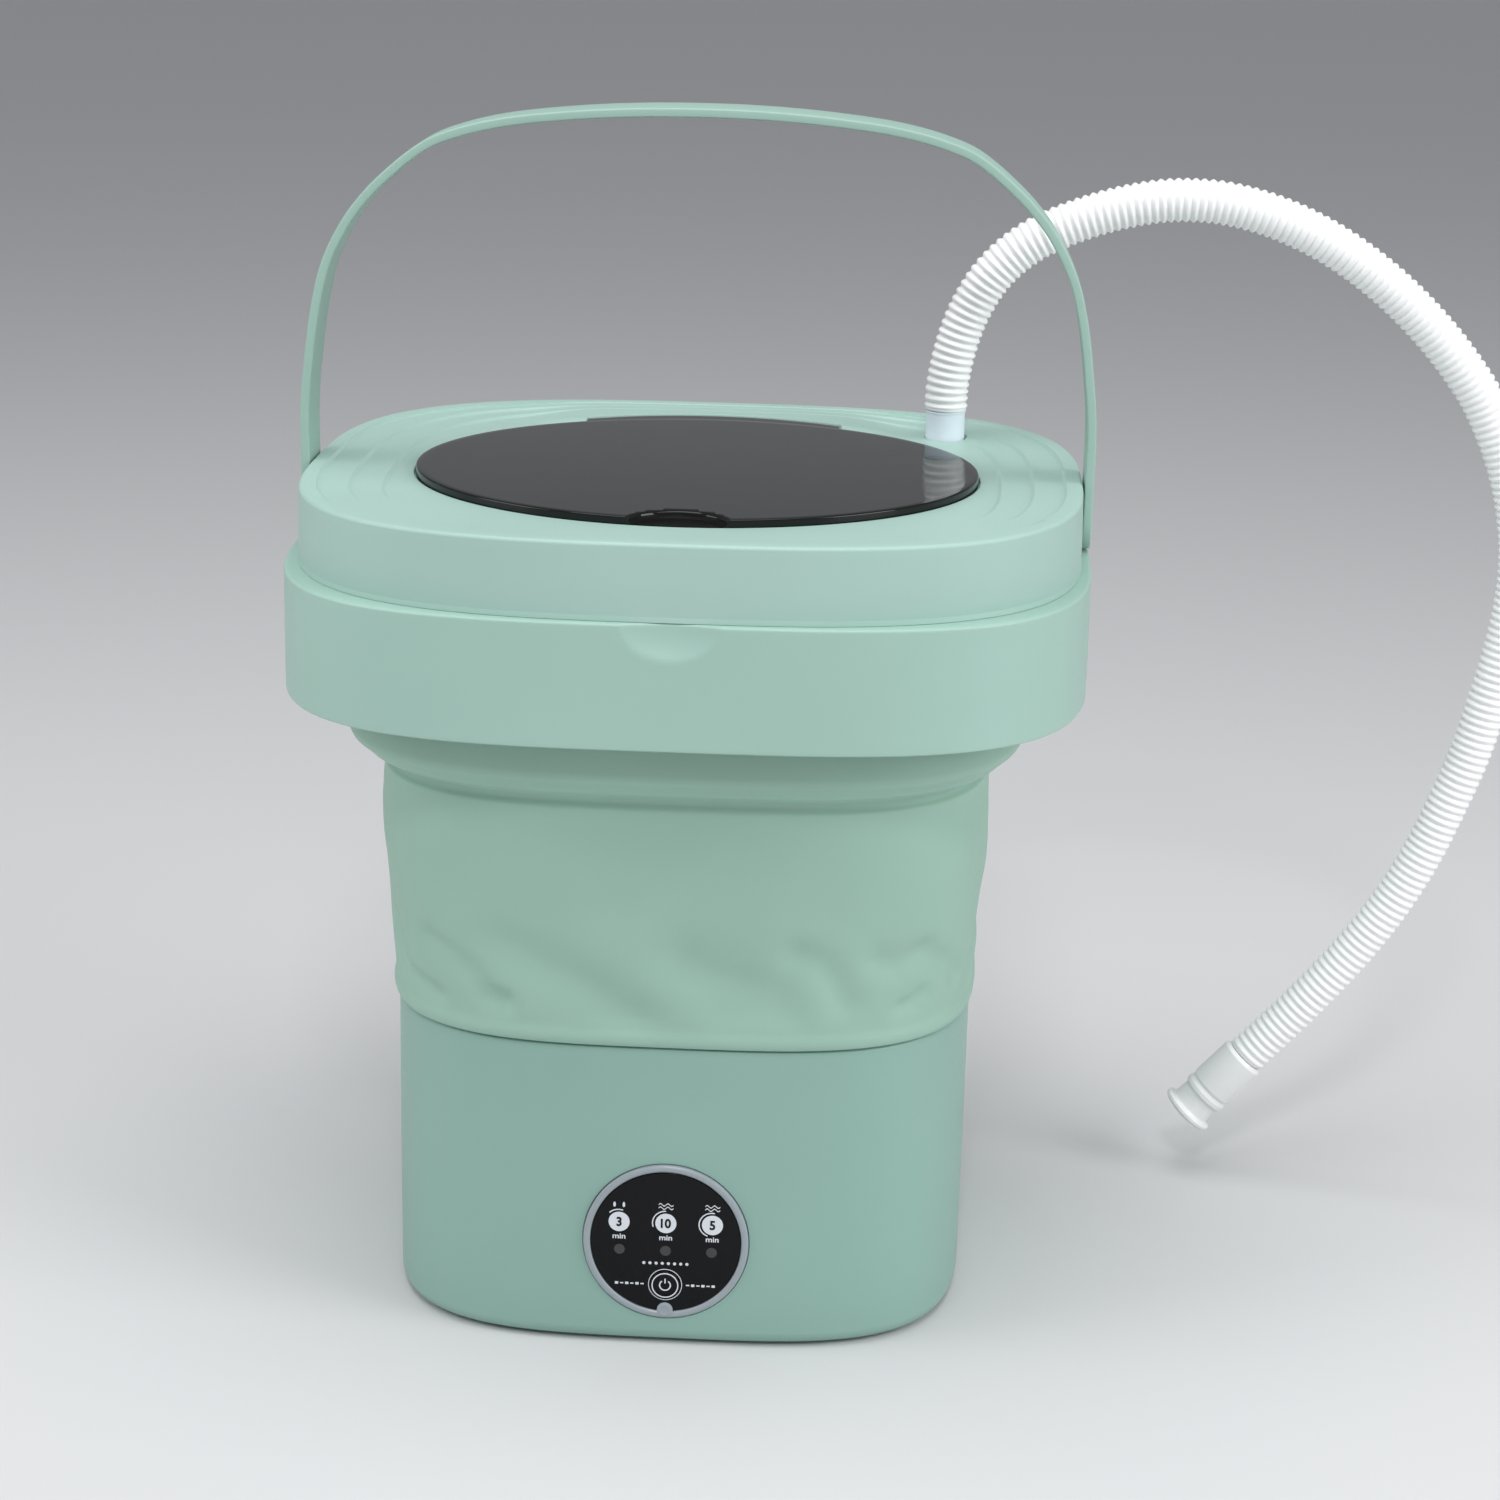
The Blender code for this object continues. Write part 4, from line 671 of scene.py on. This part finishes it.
for x in np.linspace(-HINGE_HALF, HINGE_HALF, 91):
    y_end = ARC_Y + math.sqrt(ARC_TAB ** 2 - x * x)
    loop = []
    for t in np.linspace(0, 1, 60) ** 0.8:
        y = 0.060 + (y_end - 0.060) * t
        over = max(0.0, math.hypot(x, y - ARC_Y) - 0.1024)
        loop.append((x, y, 0.3289 - (0.0140 - math.sqrt(0.0140 ** 2 - over ** 2))))
    zt = loop[-1][2]
    loop += [(x, y_end + 0.0003, zt - 0.0004), (x, y_end + 0.0003, 0.3250), (x, y_end, 0.3246), (x, 0.060, 0.3246)]
    cols.append(loop)
v, f = grid(np.array(cols), cap_start=True, cap_end=True)
tab = new_object("c7", v, f, sharp=35)


def unite(ob, other):
    m = ob.modifiers.new("u", "BOOLEAN")
    m.operation = "UNION"
    m.solver = "EXACT"
    m.object = other
    bpy.context.view_layer.update()
    dg = bpy.context.evaluated_depsgraph_get()
    me = bpy.data.meshes.new_from_object(ob.evaluated_get(dg))
    ob.modifiers.clear()
    old = ob.data
    ob.data = me
    bpy.data.meshes.remove(old)
    bpy.data.objects.remove(other, do_unlink=True)
    return ob


tab.data.transform(Matrix.Translation((0, 0, -0.00002)))
unite(flap, tab)
unite(flap, turned("c9", [(0.0029, -HINGE_HALF), (0.0029, HINGE_HALF)], 40, (0, Y_HINGE, Z_HINGE), Matrix.Rotation(math.pi / 2, 3, "Y")))
cut(flap, turned("c10", [(0.0014, -0.08), (0.0014, 0.08)], 32, (0, Y_HINGE, Z_HINGE), Matrix.Rotation(math.pi / 2, 3, "Y")))
# finger scoop: a round dish open at the front edge, with a narrow chamfer round it
SCOOP_Y = -0.1030
DISH = [(0.0180, -0.0030), (0.0192, -0.0027), (0.0199, -0.0019), (0.0202, -0.0006), (0.0206, -0.0003), (0.0213, 0.0), (0.0220, 0.0020)]
cut(flap, turned("c11", DISH, 160, (0, SCOOP_Y, 0.3289)))
done(flap, "gloss_black", "flip_lid", "flip_lid", slot="black_gloss")
# painted shade: a dark matt sheet following the dish of the finger scoop, so that the scoop shows black
cols = []
for x in np.linspace(-0.0187, 0.0187, 91):
    y0 = FLAP_Y - (FLAP_B - 0.0006) * math.sqrt(1 - (x / (FLAP_A - 0.0006)) ** 2)
    y1 = max(SCOOP_Y + math.sqrt(0.02005 ** 2 - x * x), y0 + 0.0002)
    shade_sheet = []
    for y in y0 + (y1 - y0) * np.linspace(0, 1, 40) ** 0.6:
        rise = np.interp(math.hypot(x, y - SCOOP_Y), [q[0] for q in DISH[:4]], [q[1] for q in DISH[:4]])
        shade_sheet.append((x, y, 0.3289 + rise + 0.00008))
    cols.append(shade_sheet + [(px, py, pz - 0.00016) for px, py, pz in reversed(shade_sheet)])
v, f = grid(np.array(cols), cap_start=True, cap_end=True)
done(new_object("finger_scoop_painted_shade", v, f, sharp=40), "scoop", "flip_lid", slot="black_gloss")

# ------------------------------------------------------------------ handle
ARCH = [(155.6, 312.8), (155.7, 330.0), (155.7, 346.0), (155.0, 358.0), (153.6, 370.0), (152.0, 382.0), (149.8, 394.0),
        (146.6, 406.0), (141.4, 417.5), (134.0, 429.0), (123.5, 440.5), (108.0, 453.0), (94.0, 459.1),
        (75.0, 463.7), (50.0, 466.8), (25.0, 468.5), (0.0, 469.0)]
HT, HD, FOOT_R = 0.0035, 0.0236, 0.0118
side = [(x / 1000, 0.0, z / 1000) for x, z in ARCH]
over = side + [(-x, y, z) for x, y, z in reversed(side[:-1])]
path, _ = smooth_route(over, 0.0025)
down = [(0.1556, 0, PIVOT_Z - FOOT_R * math.sin(t)) for t in np.linspace(math.radians(89), 0, 14)[:-1]]
path = np.array(down + [tuple(p) for p in path] + [(-x, y, z) for x, y, z in reversed(down)])
T = np.gradient(path, axis=0)
T /= np.linalg.norm(T, axis=1)[:, None]
rings = []
for p, t in zip(path, T):
    nrm = np.array([-t[2], 0.0, t[0]])                  # towards the inside of the arch
    half = HD / 2
    if p[2] < PIVOT_Z:
        half = math.sqrt(max(FOOT_R ** 2 - (PIVOT_Z - p[2]) ** 2, 1e-8))
    half = max(half, 0.0004)
    b = min(0.0007, half * 0.45)
    sec = []
    for (cu, cv, a0) in ((b, -half + b, 180), (HT - b, -half + b, 270), (HT - b, half - b, 0), (b, half - b, 90)):
        for k in range(5):
            q = math.radians(a0 + 90 * k / 4)
            sec.append((cu + b * math.cos(q), cv + b * math.sin(q)))
    rings.append(np.array([p + nrm * u + np.array([0, 1.0, 0]) * w for u, w in sec]))
v, f = grid(np.array(rings), cap_start=True, cap_end=True)
handle = new_object("handle_strap", v, f, sharp=60)
done(handle, "handle", "handle", "handle", slot="handle_plastic")

# ------------------------------------------------------------------ hose cuff, hose and end fitting
cuff_p = fillet([(0.0062, 0.0, 0), (0.0110, 0.0, 0.0004), (0.0110, 0.0020, 0.0004), (0.0082, 0.0020, 0.0004), (0.0081, 0.0196, 0.0006), (0.0086, 0.0207, 0.0004), (0.0062, 0.0207, 0.0003)], closed=True, steps=4)
cuff_p = [(min(r, 0.0110), z) for r, z in cuff_p]
cuff = turned("hose_cuff_sleeve", cuff_p, 72, (HOSE[0], HOSE[1], 0.3180), closed=True)
done(cuff, "cuff", "upper", "hose_cuff", slot="cuff_plastic")

ROUTE = [(97.6, 339.0), (98.0, 349.6), (100.6, 364.3), (105.5, 379.5), (114.0, 394.6), (125.7, 406.4), (140.1, 415.0),
         (159.7, 422.5), (178.9, 427.0), (194.6, 428.2), (210.9, 426.9), (228.5, 422.5), (245.9, 415.4),
         (262.4, 406.0), (279.5, 393.4), (296.0, 378.0), (309.9, 362.0), (320.8, 346.0), (331.8, 321.9),
         (338.3, 297.0), (340.2, 272.5), (337.6, 247.8), (332.4, 222.3), (326.1, 196.8),
         (318.7, 175.1), (309.8, 152.2), (298.3, 129.3), (282.2, 104.7), (261.6, 78.9), (240.2, 55.0)]
route = [(x / 1000, HOSE[1], z / 1000) for x, z in ROUTE]
PITCH = 0.0033
line, hose_len = smooth_route(route, PITCH / 8)
s = np.linspace(0, hose_len, len(line))
ph = (s / PITCH) % 1.0
crest = 0.5 - 0.5 * np.cos(2 * math.pi * ph)
radii = 0.0079 + 0.0011 * crest ** 0.7
radii[:4] = 0.0085
radii[-3:] = 0.0080
rings = sweep_round(line, radii, 40)
v, f = grid(rings, cap_start=True, cap_end=True)
hose = new_object("corrugated_hose", v, f, sharp=None)
give(hose, "hose")
END = Vector(line[-1])
END_DIR = (Vector(line[-1]) - Vector(line[-9])).normalized()
ROT = Vector((0, 0, 1)).rotation_difference(END_DIR).to_matrix()
fit_p = fillet([(0.0070, 0.0003, 0), (0.0088, 0.0003, 0.0008), (0.0101, 0.0018, 0.0010), (0.0101, 0.0205, 0.0006), (0.0095, 0.0218, 0.0006), (0.0098, 0.0226, 0.0003),
                (0.0103, 0.0236, 0.0006), (0.0103, 0.0254, 0.0006), (0.0091, 0.0266, 0.0006), (0.0094, 0.0336, 0.0004), (0.0101, 0.0344, 0.0004),
                (0.0120, 0.0349, 0.0003), (0.0120, 0.0363, 0.0005), (0.0108, 0.0372, 0.0006), (0.0085, 0.0379, 0.0006), (0.0030, 0.0384, 0)], steps=4)
fit = turned("hose_fitting", fit_p, 72, (0, 0, 0), None, sharp=35)
fit.data.transform(Matrix.Translation(END) @ ROT.to_4x4())
done(fit, "fitting", "base", "hose_end_fitting", slot="white_plastic")
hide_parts("drain_hose")
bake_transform(hose)
path40, _ = smooth_route(route, hose_len / 150)

# ------------------------------------------------------------------ control panel
ring_p = fillet([(LENS_R + 0.0003, -0.0025, 0), (BEZEL_R, -0.0025, 0), (BEZEL_R, 0.0004, 0.0003), (BEZEL_R - 0.0008, 0.0009, 0.0004), (LENS_R + 0.0010, 0.0009, 0.0004), (LENS_R + 0.0003, 0.0004, 0.0002)], closed=True, steps=4)
bezel = turned("panel_ring", ring_p, 160, (0, PANEL_Y, PANEL_Z), FACE_FRONT, closed=True, sharp=50)
done(bezel, "ring", "base", "panel_bezel", slot="silver_trim")
lens_p = fillet([(0.0002, -0.0025, 0), (LENS_R, -0.0025, 0.0002), (LENS_R, 0.0003, 0.0003), (0.0002, 0.0003, 0)], steps=4)
lens = turned("panel_window", dense(lens_p, 0.008), 160, (0, PANEL_Y, PANEL_Z), FACE_FRONT, sharp=50)
cut(lens, turned("c13", [(BUTTON_R + 0.0003, -0.01), (BUTTON_R + 0.0003, 0.01)], 64, (0, PANEL_Y, BUTTON_Z), FACE_FRONT))
done(lens, "lens", "base", "panel_lens", slot="black_gloss")
bump_p = fillet([(0.0001, 0.0, 0), (0.0031, 0.0, 0.0001), (0.0031, 0.0007, 0.0003), (0.0018, 0.0009, 0.0002), (0.0016, 0.0007, 0.0001), (0.0001, 0.0007, 0)], steps=3)
nub = turned("panel_ring_tab", bump_p, 48, (0, PANEL_Y - 0.0003, PANEL_Z - 0.0287), FACE_FRONT)
done(nub, "ring", "base", slot="silver_trim")

btn_p = fillet([(0.0018, -0.0049, 0), (0.0018, -0.0035, 0), (0.0074, -0.0035, 0.0002), (0.0074, -0.0028, 0.0002), (BUTTON_R, -0.0028, 0), (BUTTON_R, 0.0011, 0.0005), (0.0046, 0.0011, 0.0003), (0.0040, 0.0008, 0.0003), (0.0002, 0.0008, 0)], steps=4)
button = turned("start_button_cap", btn_p, 72, (0, PANEL_Y, BUTTON_Z), FACE_FRONT)
done(button, "lens", "start_button", "start_button", slot="black_gloss")


def printed(name, shapes, y, body, key="print", depth=0.00004):
    """Thin printed marks on the panel. shapes: list of closed outlines in (x, z), each (outer, [holes])."""
    cu = bpy.data.curves.new(name, "CURVE")
    cu.dimensions = "2D"
    cu.fill_mode = "BOTH"
    cu.extrude = depth
    for loop in shapes:
        sp = cu.splines.new("POLY")
        sp.points.add(len(loop) - 1)
        for q, p in zip(sp.points, loop):
            q.co = (p[0], p[1], 0, 1)
        sp.use_cyclic_u = True
    ob = bpy.data.objects.new(name + "_curve", cu)
    bpy.context.scene.collection.objects.link(ob)
    bpy.context.view_layer.update()
    me = bpy.data.meshes.new_from_object(ob.evaluated_get(bpy.context.evaluated_depsgraph_get()))
    bpy.data.objects.remove(ob, do_unlink=True)
    me.transform(Matrix.Translation((0, y, 0)) @ Matrix.Rotation(math.pi / 2, 4, "X"))
    m = bpy.data.objects.new(name, me)
    bpy.context.scene.collection.objects.link(m)
    give(m, key)
    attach(m, body)
    return m


def circle(cx, cz, r, n=48):
    return [(cx + r * math.cos(2 * math.pi * k / n), cz + r * math.sin(2 * math.pi * k / n)) for k in range(n)]


def arc_band(cx, cz, r, width, a0, a1, n=24):
    o = [(cx + (r + width / 2) * math.cos(math.radians(a0 + (a1 - a0) * k / n)), cz + (r + width / 2) * math.sin(math.radians(a0 + (a1 - a0) * k / n))) for k in range(n + 1)]
    i = [(cx + (r - width / 2) * math.cos(math.radians(a0 + (a1 - a0) * k / n)), cz + (r - width / 2) * math.sin(math.radians(a0 + (a1 - a0) * k / n))) for k in range(n, -1, -1)]
    return o + i


def text_mesh(name, body_text, size, cx, cz, y, body, key, bold=0.0, depth=0.00004, stretch=1.0):
    cu = bpy.data.curves.new(name, "FONT")
    cu.body = body_text
    cu.size = size
    cu.align_x = "CENTER"
    cu.align_y = "CENTER"
    cu.extrude = depth
    cu.offset = bold
    ob = bpy.data.objects.new(name + "_text", cu)
    bpy.context.scene.collection.objects.link(ob)
    bpy.context.view_layer.update()
    me = bpy.data.meshes.new_from_object(ob.evaluated_get(bpy.context.evaluated_depsgraph_get()))
    bpy.data.objects.remove(ob, do_unlink=True)
    xs = [v.co.x for v in me.vertices]
    ys = [v.co.y for v in me.vertices]
    me.transform(Matrix.Translation((-(min(xs) + max(xs)) / 2, -(min(ys) + max(ys)) / 2, 0)))
    me.transform(Matrix.Diagonal((stretch, 1, 1, 1)))
    me.transform(Matrix.Translation((cx, y, cz)) @ Matrix.Rotation(math.pi / 2, 4, "X"))
    m = bpy.data.objects.new(name, me)
    bpy.context.scene.collection.objects.link(m)
    give(m, key)
    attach(m, body)
    return m


FACE_Y = PANEL_Y - 0.0003 - 0.00006
NUM_Y = FACE_Y - 0.00009
COLS = [(-0.0182, "3", 70, 135), (0.0, "10", 88, 200), (0.0181, "5", 78, 250)]
discs, arcs = [], []
for x, num, a0, a1 in COLS:
    cz = PANEL_Z + 0.0080
    discs.append(circle(x, cz, 0.0041, 56))
    arcs.append(arc_band(x - 0.0002, cz + 0.0001, 0.0050, 0.00045, a0, a1))
printed("panel_discs", discs, FACE_Y, "base")
printed("panel_arcs", arcs, FACE_Y, "base")
for k, (x, num, a0, a1) in enumerate(COLS):
    text_mesh("panel_number_%d" % (k + 1), num, 0.0052, x, PANEL_Z + 0.0080, NUM_Y, "base", "lens", bold=0.00016, stretch=0.92)
    text_mesh("panel_unit_%d" % (k + 1), "min", 0.0031, x, PANEL_Z + 0.0019, FACE_Y, "base", "print", bold=0.00006, stretch=1.15)
lamps = [circle(x, PANEL_Z - 0.0036, 0.0021, 40) for x in (-0.0180, 0.0, 0.0179)]
printed("panel_lamp_windows", lamps, FACE_Y, "base", "led")
# plain pictures in place of words: drops and waves over the numbers, a row of dots, and strokes by the button


def drop(cx, cz, h):
    out = []
    for k in range(30):
        t = 2 * math.pi * k / 30
        r = 0.5 * h * (0.62 + 0.38 * max(0.0, math.sin(t)) ** 3)
        out.append((cx + r * math.cos(t) * 0.62, cz + r * math.sin(t)))
    return out


def wave(cx, cz, w, t, n=24, amp=0.0005):
    top = [(cx - w / 2 + w * k / n, cz + amp * math.sin(4 * math.pi * k / n) + t / 2) for k in range(n + 1)]
    low = [(x, z - t) for x, z in reversed(top)]
    return top + low


icons = []
cz = PANEL_Z + 0.0150
icons += [drop(-0.0200, cz, 0.0026), drop(-0.0164, cz, 0.0026)]
for x in (0.0, 0.0181):
    icons += [wave(x, cz + 0.0008, 0.0058, 0.0004), wave(x, cz - 0.0006, 0.0058, 0.0004)]
printed("panel_icons", icons, FACE_Y, "base")
dots = [circle(-0.0084 + 0.0024 * k, PANEL_Z - 0.0090, 0.00062, 20) for k in range(8)]
printed("panel_dots", dots, FACE_Y, "base")


def bar(cx, cz, w, h):
    return [(cx - w / 2, cz - h / 2), (cx + w / 2, cz - h / 2), (cx + w / 2, cz + h / 2), (cx - w / 2, cz + h / 2)]


strokes = [bar(-0.0190 + 0.0020 * k, BUTTON_Z, 0.0013, 0.0005 if k % 2 else 0.0010) for k in range(6)]
strokes += [bar(0.0088 + 0.0020 * k, BUTTON_Z, 0.0013, 0.0010 if k % 2 else 0.0005) for k in range(6)]
printed("panel_strokes", strokes, FACE_Y, "base")
printed("panel_button_ring", [circle(0, BUTTON_Z, 0.00665, 64), circle(0, BUTTON_Z, 0.00635, 64)], FACE_Y, "base")
by = PANEL_Y - 0.0011 - 0.00005
printed("button_ring", [circle(0, BUTTON_Z, 0.00525, 64), circle(0, BUTTON_Z, 0.00480, 64)], by, "start_button")
sign = [arc_band(0, BUTTON_Z - 0.0001, 0.0021, 0.00050, 125, 415, 40), bar(0, BUTTON_Z + 0.0017, 0.0005, 0.0020)]
printed("button_sign", sign, PANEL_Y - 0.0008 - 0.00005, "start_button")

# ------------------------------------------------------------------ power socket, feet and inner pieces keep their solids
FINISH = {
    "base_cover": "base", "tub_floor": "base", "upper_clamp_ring": "collar", "hinge_pin": "steel",
    "handle_pin_left": "handle", "handle_pin_right": "handle", "drive_shaft": "steel", "gearbox": "steel", "motor_can": "steel",
    "motor_plate": "steel", "shaft_bush": "bronze", "shaft_seal": "rubber", "motor_end_cap": "black", "drain_pump": "black",
    "tact_switch": "black", "dc_jack": "black", "motor_cable": "cable_black", "jack_cable": "cable_red", "pulsator": "pale",
    "pulsator_cap": "pale", "drain_strainer": "pale", "board_carrier": "pale", "control_board": "board", "drain_port": "fitting",
    "riser_hose": "hose", "led_1": "clear", "led_2": "clear", "led_3": "clear"}
for k in range(1, 5):
    FINISH["rubber_foot_%d" % k] = "rubber"
    FINISH["cover_screw_%d" % k] = "steel"
    FINISH["motor_screw_%d" % k] = "steel"
for name, key in FINISH.items():
    ob = frame["nodes"][name]
    ob.data.materials.clear()
    ob.data.materials.append(mats[key])

# riser hose: a corrugated tube swept in place of its solid
rp, _ = smooth_route([(HOSE[0], HOSE[1], 0.3176), (HOSE[0] - 0.0003, HOSE[1] - 0.0003, 0.300), (0.0945, 0.0815, 0.270),
                      (0.0880, 0.0755, 0.232), (0.0810, 0.0695, 0.190), (0.0775, 0.0666, 0.155), (0.0770, 0.0660, 0.134)], 0.0006)
rs = np.linspace(0, 1, len(rp)) * len(rp) * 0.0006
rr = 0.0062 + 0.0009 * (0.5 - 0.5 * np.cos(2 * math.pi * rs / 0.0036))
v, f = grid(sweep_round(rp, rr, 28), cap_start=True, cap_end=True)
riser = new_object("riser_hose_tube", v, f)
give(riser, "hose")
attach(riser, "base")
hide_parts("riser_hose")
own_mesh(riser)

# ------------------------------------------------------------------ studio
scene = bpy.context.scene
scene.view_settings.view_transform = "Standard"
floor_me = bpy.data.meshes.new("floor")
floor_me.from_pydata([(-30, -30, 0), (30, -30, 0), (30, 30, 0), (-30, 30, 0)], [], [(0, 1, 2, 3)])
floor = bpy.data.objects.new("floor", floor_me)
scene.collection.objects.link(floor)
fm = bpy.data.materials.new("floor_pale")
fm.use_nodes = True
fm.node_tree.nodes["Principled BSDF"].inputs["Base Color"].default_value = (0.68, 0.68, 0.69, 1)
fm.node_tree.nodes["Principled BSDF"].inputs["Roughness"].default_value = 0.7
floor_me.materials.append(fm)

world = bpy.data.worlds.new("studio")
scene.world = world
world.use_nodes = True
bg = world.node_tree.nodes["Background"]
bg.inputs["Strength"].default_value = 0.40
# pale all round, darker behind the object, so that glossy black pieces stay dark
tcw = world.node_tree.nodes.new("ShaderNodeTexCoord")
sep = world.node_tree.nodes.new("ShaderNodeSeparateXYZ")
world.node_tree.links.new(tcw.outputs["Generated"], sep.inputs["Vector"])
parts = []
for axis, lo, hi in (("Y", 0.15, 0.70), ("Z", 0.10, 0.34)):
    mr = world.node_tree.nodes.new("ShaderNodeMapRange")
    mr.interpolation_type = "SMOOTHSTEP"
    mr.inputs["From Min"].default_value = lo
    mr.inputs["From Max"].default_value = hi
    world.node_tree.links.new(sep.outputs[axis], mr.inputs["Value"])
    parts.append(mr)
mul = world.node_tree.nodes.new("ShaderNodeMath")
mul.operation = "MULTIPLY"
world.node_tree.links.new(parts[0].outputs["Result"], mul.inputs[0])
world.node_tree.links.new(parts[1].outputs["Result"], mul.inputs[1])
rw = world.node_tree.nodes.new("ShaderNodeValToRGB")
rw.color_ramp.elements[0].color = (0.93, 0.96, 1.0, 1)
rw.color_ramp.elements[1].color = (0.46, 0.47, 0.48, 1)
world.node_tree.links.new(mul.outputs["Value"], rw.inputs["Fac"])
world.node_tree.links.new(rw.outputs["Color"], bg.inputs["Color"])


def area(name, loc, target, size, power, colour=(1, 1, 1), size_y=None):
    ld = bpy.data.lights.new(name, "AREA")
    ld.shape = "RECTANGLE"
    ld.size = size
    ld.size_y = size_y or size
    ld.energy = power
    ld.color = colour
    ob = bpy.data.objects.new(name, ld)
    scene.collection.objects.link(ob)
    ob.location = loc
    d = Vector(target) - Vector(loc)
    ob.rotation_euler = d.to_track_quat("-Z", "Y").to_euler()
    return ob


area("top_light", (-0.1, -0.3, 2.0), (0, 0, 0.25), 1.6, 20.0)
area("left_light", (-1.8, -0.5, 1.2), (0, 0, 0.25), 1.0, 11.0)
area("right_light", (1.7, -0.7, 1.1), (0, 0, 0.25), 1.0, 17.0)
area("front_light", (0.15, -2.3, 2.35), (0, 0, 0.2), 0.40, 17.0)
